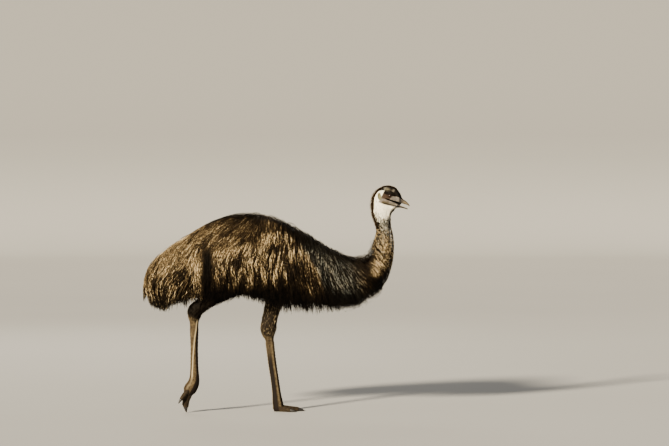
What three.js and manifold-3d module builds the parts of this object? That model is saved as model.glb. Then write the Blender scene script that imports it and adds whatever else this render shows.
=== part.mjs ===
// An emu caught in mid stride, life-size and still.
// Millimetres. X runs forward to the beak, Y to the bird's left, Z up from the floor.
// The model is laid out round the bird's midline and set on its origin at the end:
// the middle of its footprint box, at the level of its soles.
import * as THREE from "three";
import { mergeVertices } from "three/addons/utils/BufferGeometryUtils.js";
import Module from "manifold-3d";

const wasm = await Module();
wasm.setup();

// Clearance between neighbouring nodes
const GAP = 0.3;

// Colours of the living bird
const COLOURS = {
  plumage: 0x4a3a2b,
  rump: 0x51443a,
  breast: 0x2b2622,
  neck: 0x4b4238,
  bareSkin: 0xd9d4c4,
  head: 0x5a5348,
  beak: 0x4b443c,
  eye: 0x2a1508,
  legFeathers: 0x1f1a18,
  scales: 0x4f453c,
  claw: 0x241f1c,
};

// Body stations from the tail to the throat, each a rib through the bird at right angles
// to its length: a point on the back line and one on the belly line, out to the tips of the
// feathers, the half width, how high the widest place lies as a share of the rib, and the
// depth of the coat.
const rib = (backX, backZ, bellyX, bellyZ, half, widest, coat) => ({
  back: new THREE.Vector3(backX, 0, backZ),
  belly: new THREE.Vector3(bellyX, 0, bellyZ),
  girth: new THREE.Vector3(half, widest, coat),
});
const BODY = [
  rib(-738, 752, -730, 712, 34, 0.5, 40),
  rib(-706, 842, -694, 654, 94, 0.46, 56),
  rib(-640, 920, -622, 617, 148, 0.43, 60),
  rib(-540, 1001, -532, 622, 188, 0.42, 62),
  rib(-420, 1080, -416, 646, 214, 0.42, 64),
  rib(-285, 1146, -285, 664, 232, 0.42, 64),
  rib(-150, 1180, -150, 653, 240, 0.43, 64),
  rib(-15, 1176, -10, 632, 237, 0.43, 64),
  rib(115, 1130, 125, 628, 225, 0.44, 64),
  rib(235, 1068, 258, 622, 206, 0.45, 62),
  rib(345, 999, 385, 611, 180, 0.46, 58),
  rib(440, 941, 490, 620, 152, 0.48, 52),
  rib(518, 914, 580, 664, 124, 0.5, 45),
  rib(572, 912, 655, 727, 98, 0.5, 38),
  rib(600, 942, 706, 800, 78, 0.5, 32),
  rib(617, 985, 730, 880, 64, 0.5, 28),
  rib(629, 1028, 740, 962, 54, 0.5, 24),
  rib(637, 1075, 736, 1040, 47, 0.5, 18),
  rib(628, 1120, 722, 1105, 43, 0.5, 6),
  rib(613, 1165, 716, 1152, 41, 0.5, 0),
  rib(609, 1212, 722, 1180, 41, 0.5, 0),
];
const SEAM = { tail: 4.3, breast: 9.5, neckBase: 12, neckLower: 14.6, neckUpper: 17.4, head: 20 };

// Share of the coat's depth that the solid core leaves to the free ends of the locks
const FREE_COAT = 0.5;
// The belly's own coat hangs clear of it like a skirt, so the core is drawn in more there
const SKIRT = 1.9;

// The head goes on from the last rib in a fan that turns about the throat
const HEAD = [
  rib(609, 1212, 722, 1180, 41, 0.5, 0),
  rib(612, 1250, 727, 1188, 40, 0.52, 0),
  rib(622, 1288, 731, 1194, 39, 0.54, 0),
  rib(650, 1322, 735, 1200, 39, 0.55, 0),
  rib(697, 1341, 739, 1205, 39, 0.55, 0),
  rib(740, 1330, 742, 1209, 34, 0.52, 0),
  rib(772, 1295, 745, 1211, 24, 0.42, 0),
];

// Frame of the face: its origin lies between the eyes, its long axis runs along the bill
const FACE = { x: 717, z: 1280, pitch: THREE.MathUtils.degToRad(-18) };

// A place in the face: along the bill, across to the left, up at right angles to the bill
function facePoint(along, across, up) {
  const cos = Math.cos(FACE.pitch);
  const sin = Math.sin(FACE.pitch);
  return new THREE.Vector3(FACE.x + along * cos - up * sin, across, FACE.z + along * sin + up * cos);
}

// Closed surface through rings of equal count, with a fan from each end ring to its apex
function skinRings(rings, first, last) {
  const count = rings[0].length;
  const points = [first, ...rings.flat(), last];
  const end = points.length - 1;
  const index = [];
  for (let k = 0; k < count; k++) {
    const next = (k + 1) % count;
    index.push(0, 1 + next, 1 + k);
    for (let r = 0; r + 1 < rings.length; r++) {
      const here = 1 + r * count;
      const there = here + count;
      index.push(here + k, here + next, there + k);
      index.push(here + next, there + next, there + k);
    }
    index.push(end, end - count + k, end - count + next);
  }
  const geometry = new THREE.BufferGeometry().setFromPoints(points);
  geometry.setIndex(index);
  return signedVolume(geometry) < 0 ? turnedOut(geometry) : geometry;
}

const middle = (ring) =>
  ring.reduce((sum, place) => sum.add(place), new THREE.Vector3()).divideScalar(ring.length);

// Closed surface through rings with a flat cap at each end
function skinCapped(rings) {
  return skinRings(rings, middle(rings[0]), middle(rings.at(-1)));
}

function signedVolume(geometry) {
  const place = geometry.attributes.position;
  const index = geometry.index.array;
  const [a, b, c] = [new THREE.Vector3(), new THREE.Vector3(), new THREE.Vector3()];
  let volume = 0;
  for (let i = 0; i < index.length; i += 3) {
    a.fromBufferAttribute(place, index[i]);
    b.fromBufferAttribute(place, index[i + 1]);
    c.fromBufferAttribute(place, index[i + 2]);
    volume += a.dot(b.cross(c)) / 6;
  }
  return volume;
}

function turnedOut(geometry) {
  const index = Array.from(geometry.index.array);
  for (let i = 0; i < index.length; i += 3) {
    [index[i + 1], index[i + 2]] = [index[i + 2], index[i + 1]];
  }
  geometry.setIndex(index);
  return geometry;
}

// Solid of a closed geometry, for cutting and joining
function solid(source) {
  let geometry = source.clone();
  geometry.deleteAttribute("normal");
  geometry.deleteAttribute("uv");
  geometry = mergeVertices(geometry, 1e-4);
  return new wasm.Manifold(
    new wasm.Mesh({
      numProp: 3,
      vertProperties: new Float32Array(geometry.attributes.position.array),
      triVerts: new Uint32Array(geometry.index.array),
    }),
  );
}

// The largest closed surface of a solid
function largest(body) {
  return body.decompose().reduce((best, piece) => (piece.volume() > best.volume() ? piece : best));
}

function geometryOf(body) {
  const mesh = largest(body).getMesh();
  const geometry = new THREE.BufferGeometry();
  geometry.setAttribute("position", new THREE.BufferAttribute(mesh.vertProperties.slice(), 3));
  geometry.setIndex(Array.from(mesh.triVerts));
  return geometry;
}

// Join many solids pair by pair
function joined(solids) {
  let list = solids;
  while (list.length > 1) {
    const next = [];
    for (let i = 0; i < list.length; i += 2) {
      next.push(i + 1 < list.length ? list[i].add(list[i + 1]) : list[i]);
    }
    list = next;
  }
  return list[0];
}

// Draws that are the same on every run
function seededDraws(seed) {
  let state = seed;
  return () => {
    state = (state + 0x6d2b79f5) | 0;
    let mixed = Math.imul(state ^ (state >>> 15), 1 | state);
    mixed = (mixed + Math.imul(mixed ^ (mixed >>> 7), 61 | mixed)) ^ mixed;
    return ((mixed ^ (mixed >>> 14)) >>> 0) / 4294967296;
  };
}

const radians = THREE.MathUtils.degToRad;
const mix = THREE.MathUtils.lerp;
const smooth = THREE.MathUtils.smoothstep;

// Smooth curves through the ribs of a station list
class RibSurface {
  constructor(ribs) {
    const curve = (key) => new THREE.CatmullRomCurve3(ribs.map((r) => r[key]), false, "catmullrom", 0.5);
    this.last = ribs.length - 1;
    this.back = curve("back");
    this.belly = curve("belly");
    this.girth = curve("girth");
  }

  // Rib at a station, drawn in on every side by an inset (a negative one swells it)
  at(station, inset = 0) {
    const share = station / this.last;
    const back = this.back.getPoint(share);
    const belly = this.belly.getPoint(share);
    const { x: half, y: widest, z: coat } = this.girth.getPoint(share);
    const rise = back.sub(belly);
    const up = rise.clone().normalize();
    const lift = inset > 0 ? inset * SKIRT : inset;
    return {
      foot: belly.addScaledVector(up, lift),
      rise: rise.addScaledVector(up, -inset - lift),
      half: half - inset,
      widest,
      coat,
    };
  }

  // Point of the surface: the angle runs from 0 on the back to 180 degrees on the belly,
  // positive on the left
  point(station, angle, inset = 0) {
    const { foot, rise, half, widest } = this.at(station, inset);
    const lift = Math.cos(angle);
    const share = lift > 0 ? widest + (1 - widest) * lift : widest + widest * lift;
    const place = foot.addScaledVector(rise, share);
    place.y = half * Math.sin(angle);
    return place;
  }

  // Place with the directions of the surface there: out of it, and per unit of station and angle
  frame(station, angle, inset = 0) {
    const step = 1e-3;
    const across = (key) => {
      const [s, a] = key === "station" ? [step, 0] : [0, step];
      const after = this.point(station + s, angle + a, inset);
      return after.sub(this.point(station - s, angle - a, inset)).divideScalar(2 * step);
    };
    const perStation = across("station");
    const perAngle = across("angle");
    const out = new THREE.Vector3().crossVectors(perStation, perAngle).normalize();
    return { place: this.point(station, angle, inset), out, perStation, perAngle };
  }

  // Closed length of the surface between two stations, a ring for each station given
  length(stations, sides, insetAt = () => 0) {
    const rings = stations.map((station) => {
      const angles = Array.from({ length: sides }, (_, k) => ((k + 0.5) / sides) * 2 * Math.PI);
      return angles.map((angle) => this.point(station, angle, insetAt(station)));
    });
    return skinCapped(rings);
  }
}

const bodySurface = new RibSurface(BODY);
const headSurface = new RibSurface(HEAD);

const evenSteps = (from, to, steps) =>
  Array.from({ length: steps + 1 }, (_, k) => from + ((to - from) * k) / steps);

// Half space on the tail side or the beak side of a rib's plane, clear of the plane by some
// distance, as a large block
const BLOCK = 2000;
function halfSpace(surface, station, towardsBeak, clearance = 0) {
  const { foot, rise } = surface.at(station);
  const up = rise.clone().normalize();
  const across = new THREE.Vector3(0, 1, 0);
  const forward = across.clone().cross(up);
  const sign = towardsBeak ? 1 : -1;
  const turn = new THREE.Matrix4().makeBasis(forward, across, up);
  turn.setPosition(foot.clone().addScaledVector(forward, sign * (BLOCK / 2 + clearance)));
  return solid(new THREE.BoxGeometry(BLOCK, BLOCK, BLOCK).applyMatrix4(turn));
}

const emu = new THREE.Group();

function addNode(name, geometry, colour, roughness, metalness = 0) {
  const material = new THREE.MeshStandardMaterial({ color: colour, roughness, metalness });
  const mesh = new THREE.Mesh(geometry, material);
  mesh.name = name;
  emu.add(mesh);
  return mesh;
}

// Legs. Each limb is a chain of oval sections: x, y, z, half depth fore and aft, half width.
const link = (x, y, z, depth, width) => ({ place: new THREE.Vector3(x, y, z), depth, width });

const DRUMSTICK = {
  right: [
    link(-150, -100, 812, 92, 62),
    link(-215, -98, 766, 78, 56),
    link(-275, -94, 722, 60, 48),
    link(-340, -88, 675, 46, 40),
    link(-392, -82, 638, 42, 36),
    link(-426, -76, 604, 45, 34),
    link(-434, -71, 566, 36, 29),
    link(-434, -68, 536, 28, 24),
  ],
  left: [
    link(104, 100, 876, 92, 62),
    link(78, 99, 790, 80, 58),
    link(52, 96, 705, 64, 50),
    link(30, 91, 632, 50, 43),
    link(11, 85, 560, 45, 38),
    link(0, 79, 500, 47, 36),
    link(-1, 75, 462, 40, 31),
    link(6, 71, 424, 26, 23),
  ],
};
const SHANK = {
  right: [
    link(-434, -68, 536, 27, 22),
    link(-434, -64, 470, 24, 18),
    link(-434, -59, 370, 21, 16),
    link(-434, -54, 270, 23, 17),
    link(-432, -51, 205, 27, 20),
    link(-432, -49, 172, 31, 25),
    link(-441, -47, 140, 24, 26),
  ],
  left: [
    link(6, 71, 424, 26, 22),
    link(12, 66, 370, 23, 18),
    link(24, 57, 277, 22.5, 16.5),
    link(38, 47, 187, 22.5, 17),
    link(48, 40, 112, 24, 20),
    link(54, 36, 62, 29, 25),
    link(60, 34, 26, 31, 28),
    link(63, 34, 5, 30, 28),
  ],
};

// Rings along a limb, each square to the limb's own curve. A section is a share of the way
// down and a raise, by which its front and back stand out over its sides.
function limbRings(links, sides, sections, grow = 0) {
  const curve = new THREE.CatmullRomCurve3(links.map((l) => l.place), false, "catmullrom", 0.5);
  const girths = links.map((l) => new THREE.Vector3(l.depth, l.width, 0));
  const girth = new THREE.CatmullRomCurve3(girths, false, "catmullrom", 0.5);
  return sections.map(({ share, raise }) => {
    const along = curve.getTangent(share);
    const fore = new THREE.Vector3(0, 1, 0).cross(along).normalize();
    const side = along.clone().cross(fore);
    const { x: depth, y: width } = girth.getPoint(share);
    return Array.from({ length: sides }, (_, j) => {
      const angle = ((j + 0.5) / sides) * 2 * Math.PI;
      const scute = raise * Math.abs(Math.cos(angle)) ** 2;
      return curve
        .getPoint(share)
        .addScaledVector(fore, (depth + grow + scute) * Math.cos(angle))
        .addScaledVector(side, (width + grow) * Math.sin(angle));
    });
  });
}

const plainSections = (steps) => evenSteps(0, 1, steps).map((share) => ({ share, raise: 0 }));

// Sections of a scaled limb: every scute widens downwards and ends in a step over the next
function scutedSections(from, to, count, raise) {
  const step = 0.004;
  const sections = [{ share: 0, raise: 0 }];
  for (let k = 0; k < count; k++) {
    const start = from + ((to - from) * k) / count;
    const end = from + ((to - from) * (k + 1)) / count;
    sections.push({ share: start, raise: 0.15 * raise });
    sections.push({ share: end - step, raise });
  }
  sections.push({ share: to, raise: 0 });
  if (to < 1) sections.push({ share: 1, raise: 0 });
  return sections;
}

const DRUMSTICK_SIDES = 10;
const DRUMSTICK_SECTIONS = plainSections(14);
const SHANK_SIDES = 8;
const SHANK_SECTIONS = scutedSections(0.06, 0.9, 13, 2.6);
const TOE_SIDES = 7;
const TOE_SECTIONS = scutedSections(0.22, 0.94, 4, 2.2);

function floorBlock() {
  const slab = new THREE.BoxGeometry(BLOCK, BLOCK, BLOCK);
  slab.translate(0, 0, -BLOCK / 2);
  return solid(slab);
}

// The core inside the coat, never thinner than a share of its rib
const DEEPEST_INSET = 0.24;
function coreInset(station) {
  const { coat, rise } = bodySurface.at(station);
  return Math.min(FREE_COAT * coat, DEEPEST_INSET * rise.length());
}
const CORE_SIDES = 18;
const CORE_STATIONS = evenSteps(0, bodySurface.last, 32);
const coreSolid = (grow = 0) =>
  solid(bodySurface.length(CORE_STATIONS, CORE_SIDES, (station) => coreInset(station) - grow));

// Way the feathers grow at a place. On the body they fall down the slope, away from the
// parting along the back, backwards along the ridge, over the rump and where the body turns
// under; on the neck they lie towards the body.
const PARTING = { strength: 0.8, halfWidth: 25 };
const RIDGE = { strength: 1.7, halfWidth: 120 };
const RUMP = { strength: 0.5, from: 150, over: 550 };
const UNDER = 0.5;
const NECK_LIE = [10.6, 13];
function lie(station, { place, out, perStation }) {
  const nearRidge = (1 - smooth(Math.abs(place.y), 0, RIDGE.halfWidth)) * Math.max(0, out.z);
  const overRump = smooth(RUMP.from - place.x, 0, RUMP.over);
  const turnedUnder = Math.max(0, -out.z);
  const rearward = RIDGE.strength * nearRidge + RUMP.strength * overRump + UNDER * turnedUnder;
  const spread = (PARTING.strength * place.y) / (Math.abs(place.y) + PARTING.halfWidth);
  const fall = new THREE.Vector3(-rearward, spread, -1);
  const growth = fall.lerp(perStation.clone().normalize().negate(), smooth(station, ...NECK_LIE));
  return growth.addScaledVector(out, -growth.dot(out)).normalize();
}

// Path of a lock from its root in the core out to the coat's surface and along it. Over the
// flanks it hangs free from where the body turns under.
const PATH_STEPS = 16;
const HEM_END = 10.3;
const TURN_UNDER = -0.3;
const DROOP = 0.15;
const SUNK = 7;
const FULL_DEPTH = 12;
const RISE = [-0.1, 0.75];

// How deep a root sits, less where the coat thins out towards the bare neck
function rootDepth(station) {
  const depth = coreInset(station);
  return depth + SUNK * smooth(depth, 0, FULL_DEPTH);
}

function lockPath(rootStation, rootAngle, length, turn, lift, rootInset = rootDepth(rootStation)) {
  const path = [];
  const step = length / PATH_STEPS;
  let station = rootStation;
  let angle = rootAngle;
  let hanging = null;
  for (let k = 0; k <= PATH_STEPS; k++) {
    const share = k / PATH_STEPS;
    if (hanging) {
      const way = hanging.way.clone().lerp(new THREE.Vector3(0, 0, -1), DROOP).normalize();
      const place = path.at(-1).place.clone().addScaledVector(way, step);
      hanging = { ...hanging, place, way };
      path.push(hanging);
      continue;
    }
    const inset = rootInset * (1 - smooth(share, ...RISE)) - lift * share;
    const here = bodySurface.frame(station, angle);
    const { out, perStation, perAngle } = here;
    const way = lie(station, here).applyAxisAngle(out, turn * share);
    path.push({ place: bodySurface.point(station, angle, inset), out, way, station });
    const [e, f, g] = [perStation.dot(perStation), perStation.dot(perAngle), perAngle.dot(perAngle)];
    const [u, v] = [way.dot(perStation) * step, way.dot(perAngle) * step];
    const area = e * g - f * f;
    station = Math.max(0.1, station + (u * g - v * f) / area);
    angle += (v * e - u * f) / area;
    if (station < HEM_END && out.z < TURN_UNDER) hanging = path.at(-1);
  }
  return path;
}

// Flat tapered lock: a low ridge over a flat underside, bent along its path to a point.
// Each ring is a step of the path with its share of the full width and thickness.
const LOCK_RINGS = [
  [0, 0.75, 1],
  [6, 1, 1],
  [12, 0.74, 0.7],
];
const UNDERSIDE = 0.35;
const ROOM = { edge: 8, crest: 4, under: 2, ends: 6 };
function lockSolid({ path, width, thick }, grow = 0) {
  const along = (step) => {
    const before = path[Math.max(step - 1, 0)].place;
    const after = path[Math.min(step + 1, PATH_STEPS)].place;
    return after.clone().sub(before).normalize();
  };
  const rings = LOCK_RINGS.map(([step, wide, high]) => {
    const { place, out } = path[step];
    const way = along(step);
    const side = out.clone().cross(way).normalize();
    const half = (width * wide) / 2 + ROOM.edge * grow;
    const tuck = UNDERSIDE * thick * high + ROOM.under * grow;
    const crest = (1 - UNDERSIDE) * thick * high + ROOM.crest * grow;
    const centre = place.clone();
    if (step === 0) centre.addScaledVector(way, -ROOM.ends * grow);
    return [
      centre.clone().addScaledVector(side, -half).addScaledVector(out, -tuck),
      centre.clone().addScaledVector(out, crest),
      centre.clone().addScaledVector(side, half).addScaledVector(out, -tuck),
    ];
  });
  const tip = path.at(-1).place.clone().addScaledVector(along(PATH_STEPS), ROOM.ends * grow);
  return solid(skinRings(rings, middle(rings[0]), tip));
}

// The room that a lock takes from its neighbours
const lockRoom = (lock) => lockSolid(lock, GAP).add(lockSolid(lock));


// Lock sizes follow the depth of the coat
const lockSizes = (coat) => ({
  length: 25 + 2.75 * coat,
  width: 13 + 0.8 * coat,
  thick: 2 + 0.12 * coat,
});

// Where the coat starts and ends, and how its locks are spaced: on the body by their width
// along it and their length round it, on the neck the other way
const COAT_FROM = 0.35;
const COAT_TO = 17.5;
const RIDGE_TO = 11.2;
const LAST_FLANK_ANGLE = radians(112);
const NECK_STATIONS = [11.5, 14.5];
const THROAT_STATIONS = [10, 12.5];
const ROW_PITCH = { body: 1.28, neck: 0.74 };
const ROOT_PITCH = { body: 0.55, neck: 1.45 };
const ROW_OFFSETS = [0.36, 0.8];
const WALK_STEP = 0.02;
const STRAY = { station: 0.35, angle: 0.14, ridge: 0.04 };

// Roots of the locks in rows from the tail to the neck, each row offset against the last
function coatRoots(draw) {
  const roots = [];
  let gone = 0;
  let row = 0;
  let before = bodySurface.point(COAT_FROM, Math.PI / 2);
  let wait = 0;
  for (let station = COAT_FROM; station < COAT_TO; station += WALK_STEP) {
    const here = bodySurface.point(station, Math.PI / 2);
    gone += here.distanceTo(before);
    before = here;
    if (gone < wait) continue;
    const { length, width } = lockSizes(bodySurface.at(station).coat);
    const neck = smooth(station, ...NECK_STATIONS);
    wait = gone + mix(ROW_PITCH.body * width, ROW_PITCH.neck * length, neck);
    const pitch = mix(ROOT_PITCH.body * length, ROOT_PITCH.neck * width, neck);
    const lastAngle = mix(LAST_FLANK_ANGLE, Math.PI, smooth(station, ...THROAT_STATIONS));
    if (station < RIDGE_TO) roots.push({ station, angle: STRAY.ridge * (draw() - 0.5), ridge: true });
    let reach = 0;
    let next = pitch * ROW_OFFSETS[row % 2];
    for (let angle = 0; angle < lastAngle; angle += WALK_STEP) {
      const place = bodySurface.point(station, angle);
      reach += place.distanceTo(bodySurface.point(station, angle + WALK_STEP));
      if (reach < next) continue;
      next += pitch;
      for (const side of [1, -1]) {
        roots.push({
          station: station + STRAY.station * (draw() - 0.5) * (1 - neck),
          angle: side * (angle + STRAY.angle * (draw() - 0.5)),
        });
      }
    }
    row += 1;
  }
  return roots;
}

const hemHeight = (station) => bodySurface.at(Math.min(station, HEM_END)).foot.z;

// How far a lock may turn from the lie, stand off it, and vary about its full size, and how
// ragged the hem is. A lock that would hang below the hem is shortened, or left out.
const TURN = { ridge: 0.3, flank: 0.7 };
const STAND_OFF = 5;
const RIDGE_LIFT = -8;
const HEM_RAGGED = 26;
const SHORTEN = 0.92;
const SHORTEST = 0.4;

// All locks of the body that start outside the wings
function coatLocks(draw) {
  const varied = () => 0.9 + 0.25 * draw();
  const locks = [];
  for (const { station, angle, ridge } of coatRoots(draw)) {
    const size = lockSizes(bodySurface.at(station).coat);
    const turn = (ridge ? TURN.ridge : TURN.flank) * (draw() - 0.5);
    const lift = ridge ? RIDGE_LIFT : STAND_OFF * (draw() - 0.3);
    const hem = hemHeight(station) + HEM_RAGGED * (draw() - 0.35);
    const hangsTooLow = (lock) => station < HEM_END && lock.at(-1).place.z < hem;
    let length = size.length * varied();
    let path = lockPath(station, angle, length, turn, lift);
    while (hangsTooLow(path) && length > SHORTEST * size.length) {
      length *= SHORTEN;
      path = lockPath(station, angle, length, turn, lift);
    }
    if (hangsTooLow(path) || overWing(path)) continue;
    locks.push({ station, path, width: size.width * varied(), thick: size.thick });
  }
  return locks;
}

// Each small wing hangs from the shoulder against the flank, in the depth of the coat:
// station and angle on the body, half width, half thickness
const WING = [
  [9.12, 58, 12, 8],
  [9.08, 66, 27, 14],
  [9.0, 76, 34, 17],
  [8.9, 87, 35, 16],
  [8.8, 97, 30, 14],
  [8.7, 106, 21, 11],
  [8.62, 113, 11, 7],
];
const WING_INSET = 9;
const WING_SIDES = 8;

function wingPad(side, grow = 0) {
  const frames = WING.map(([station, degrees]) =>
    bodySurface.frame(station, side * radians(degrees), WING_INSET),
  );
  const rings = WING.map(([, , half, thick], k) => {
    const { place, out, perStation } = frames[k];
    const ahead = perStation.clone().normalize();
    return Array.from({ length: WING_SIDES }, (_, j) => {
      const angle = (j / WING_SIDES) * 2 * Math.PI;
      return place
        .clone()
        .addScaledVector(ahead, (half + grow) * Math.cos(angle))
        .addScaledVector(out, (thick + grow) * Math.sin(angle));
    });
  });
  const beyond = (from, to, reach) =>
    to.clone().addScaledVector(to.clone().sub(from).normalize(), reach);
  const root = beyond(frames[1].place, frames[0].place, WING[0][2] / 2 + grow);
  const tip = beyond(frames.at(-2).place, frames.at(-1).place, WING.at(-1)[2] + grow);
  return solid(skinRings(rings, root, tip));
}

// The wing's own locks hang from its outer face: station, angle, length, width
const WING_LOCKS = [
  [9.2, 53, 155, 56],
  [8.96, 60, 155, 56],
  [9.24, 73, 155, 54],
  [8.86, 80, 150, 54],
  [8.98, 92, 140, 50],
];
const WING_LOCK_THICK = 8;
const WING_LOCK_LIFT = 8;
const WING_LOCK_SUNK = 12;
const WING_LOCK_TURN = 0.12;

function wingLocks(side) {
  return WING_LOCKS.map(([station, degrees, length, width], k) => {
    const turn = k % 2 ? WING_LOCK_TURN : -WING_LOCK_TURN;
    const angle = side * radians(degrees);
    const path = lockPath(station, angle, length, turn, WING_LOCK_LIFT, WING_LOCK_SUNK);
    return { path, width, thick: WING_LOCK_THICK };
  });
}

const wingSolid = (side) => joined([wingPad(side), ...wingLocks(side).map((lock) => lockSolid(lock))]);
const wingRoom = (side) => joined([wingPad(side, GAP), ...wingLocks(side).map(lockRoom)]);

// Whether a lock starts on a wing, where the wing's own locks grow
const ROOT_SHOWS = 2;
const WING_MARGIN = 8;
function overWing(path) {
  const root = path[ROOT_SHOWS].place;
  return WING.some(([station, degrees, half]) => {
    const middleOfWing = bodySurface.point(station, Math.sign(root.y) * radians(degrees));
    return root.distanceTo(middleOfWing) < half + WING_MARGIN;
  });
}

// The core of one length of the body
const SEAM_GAP = 1.3 * GAP;
function corePiece({ from, to }, grow = 0) {
  let piece = coreSolid(grow);
  if (from !== null) piece = piece.intersect(halfSpace(bodySurface, from, true, -grow));
  return piece.intersect(halfSpace(bodySurface, to, false, SEAM_GAP));
}

const LENGTHS = [
  { name: "neck_upper", from: SEAM.neckUpper, to: SEAM.head, colour: COLOURS.bareSkin },
  { name: "neck_lower", from: SEAM.neckLower, to: SEAM.neckUpper, colour: COLOURS.neck },
  { name: "neck_base", from: SEAM.neckBase, to: SEAM.neckLower, colour: COLOURS.neck },
  { name: "breast", from: SEAM.breast, to: SEAM.neckBase, colour: COLOURS.breast },
  { name: "torso", from: SEAM.tail, to: SEAM.breast, colour: COLOURS.plumage },
  { name: "tail", from: null, to: SEAM.tail, colour: COLOURS.rump },
];

const COAT_SEED = 11;
const PLUMAGE_ROUGHNESS = 0.85;
const SEAM_REACH = 1.6;

const drumstickSolid = (side, grow = 0) =>
  solid(skinCapped(limbRings(DRUMSTICK[side], DRUMSTICK_SIDES, DRUMSTICK_SECTIONS, grow)));

// Lengths of the body from the head backwards. The locks of each length lie over the
// length behind it, which leaves them room.
function buildBody() {
  const locks = coatLocks(seededDraws(COAT_SEED));
  const legs = drumstickSolid("left", GAP).add(drumstickSolid("right", GAP));
  const wings = wingRoom(1).add(wingRoom(-1));
  let taken = halfSpace(bodySurface, SEAM.head, true, -GAP);
  for (const length of LENGTHS) {
    const start = length.from ?? 0;
    const own = locks.filter(({ station }) => station >= start && station < length.to);
    const coat = own.map((lock) => lockSolid(lock).subtract(legs));
    const piece = joined([corePiece(length), ...coat]).subtract(wings).subtract(taken);
    addNode(length.name, geometryOf(piece), length.colour, PLUMAGE_ROUGHNESS);
    const near = own.filter(({ path }) => path.some(({ station }) => station < start + SEAM_REACH));
    taken = joined([corePiece(length, GAP), ...near.map(lockRoom)]);
  }
  addNode("wing_left", geometryOf(wingSolid(1)), COLOURS.plumage, PLUMAGE_ROUGHNESS);
  addNode("wing_right", geometryOf(wingSolid(-1)), COLOURS.plumage, PLUMAGE_ROUGHNESS);
}

// Bill: places along the face where its outline turns
const BILL = {
  base: 48,
  tip: 128,
  // along, culmen, cutting edge, half width
  upper: [
    [48, 31, -27, 22],
    [60, 23.5, -25.5, 20],
    [76, 14, -24.5, 17],
    [92, 4.5, -23.5, 14],
    [108, -6, -22.5, 10.5],
    [120, -14, -22.5, 6.5],
    [128, -20, -23, 2.5],
  ],
  // along, cutting edge, keel, half width
  lower: [
    [48, -35, -58, 20],
    [60, -36, -54.5, 17.5],
    [76, -36.8, -49.5, 15],
    [92, -37.3, -47, 12],
    [108, -38, -45.8, 9],
    [120, -39, -45, 6],
    [127, -40.5, -44, 2.5],
  ],
};
const BILL_SIDES = 10;

// Rings of one half of the bill, swollen by an amount for a cutter
function billRings(rows, crest) {
  return rows.map(([along, top, bottom, half]) => {
    const centre = (top + bottom) / 2;
    const tall = (top - bottom) / 2;
    return Array.from({ length: BILL_SIDES }, (_, k) => {
      const angle = ((k + 0.5) / BILL_SIDES) * 2 * Math.PI;
      const lift = Math.cos(angle);
      const spread = Math.sin(angle);
      const across = half * Math.sign(spread) * Math.abs(spread) ** crest;
      return facePoint(along, across, centre + tall * lift);
    });
  });
}

const GAPE = { corner: [-13, -28.4], upper: [60, -26.5], lower: [60, -36.5] };

// Wedge between the jaws, open to the front and to both sides
function gapeWedge() {
  const outline = [GAPE.corner, GAPE.upper, GAPE.lower];
  const reach = 60;
  const ring = (across) => outline.map(([along, up]) => facePoint(along, across, up));
  return solid(skinCapped([ring(-reach), ring(reach)]));
}

// Block on the beak side of the plane where the bill meets the face
function faceBlock(clearance) {
  const block = new THREE.BoxGeometry(BLOCK, BLOCK, BLOCK);
  block.rotateY(-FACE.pitch);
  const centre = facePoint(BILL.base + clearance + BLOCK / 2, 0, 0);
  block.translate(centre.x, centre.y, centre.z);
  return solid(block);
}

const EYE = { across: 27.5, radius: 14.5 };
// Swellings and hollows of the face, one on each side: place along, across and up in the
// face, and half lengths the same way
const LIDS = { place: [0, 31.5, 0], radii: [18.6, 13.6, 17], segments: 12 };
const LID_OPENING = { place: [0, 42.5, 0], radii: [10.5, 14, 8], segments: 12 };
const BROW = { place: [2, 30, 18], radii: [22, 9, 6.5], segments: 8 };
const EAR_CUP = { place: [-56, 36, -28], radii: [8, 5, 11], segments: 8 };
const NOSTRIL = { place: [77, 14, -8.5], radii: [9, 4, 2.6], segments: 8 };

// Ellipsoid with its axes along the face's own directions
function faceForm({ place: [along, across, up], radii, segments }, side) {
  const ball = new THREE.SphereGeometry(1, segments, Math.round(segments * 0.6));
  ball.scale(...radii).rotateY(-FACE.pitch);
  return solid(ball.translate(...facePoint(along, side * across, up)));
}

function eyeBall(side, grow = 0) {
  const ball = new THREE.SphereGeometry(EYE.radius + grow, 12, 8);
  return solid(ball.translate(...facePoint(0, side * EYE.across, 0)));
}

function buildHead() {
  let head = solid(headSurface.length(evenSteps(0, headSurface.last, 12), 16));
  head = head.intersect(halfSpace(headSurface, 0, true));
  for (const side of [1, -1]) {
    head = head.add(faceForm(LIDS, side)).add(faceForm(BROW, side));
    head = head.subtract(faceForm(LID_OPENING, side)).subtract(faceForm(EAR_CUP, side));
    head = head.subtract(eyeBall(side, GAP));
  }
  head = head.subtract(gapeWedge()).subtract(faceBlock(-GAP / 2));
  addNode("head", geometryOf(head), COLOURS.head, 0.8);

  let upper = solid(skinCapped(billRings(BILL.upper, 1.15))).intersect(faceBlock(GAP / 2));
  for (const side of [1, -1]) upper = upper.subtract(faceForm(NOSTRIL, side));
  addNode("beak_upper", geometryOf(upper), COLOURS.beak, 0.45);
  const lower = solid(skinCapped(billRings(BILL.lower, 0.9))).intersect(faceBlock(GAP / 2));
  addNode("beak_lower", geometryOf(lower), COLOURS.beak, 0.45);
  addNode("eye_left", geometryOf(eyeBall(1)), COLOURS.eye, 0.1);
  addNode("eye_right", geometryOf(eyeBall(-1)), COLOURS.eye, 0.1);
}

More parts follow.
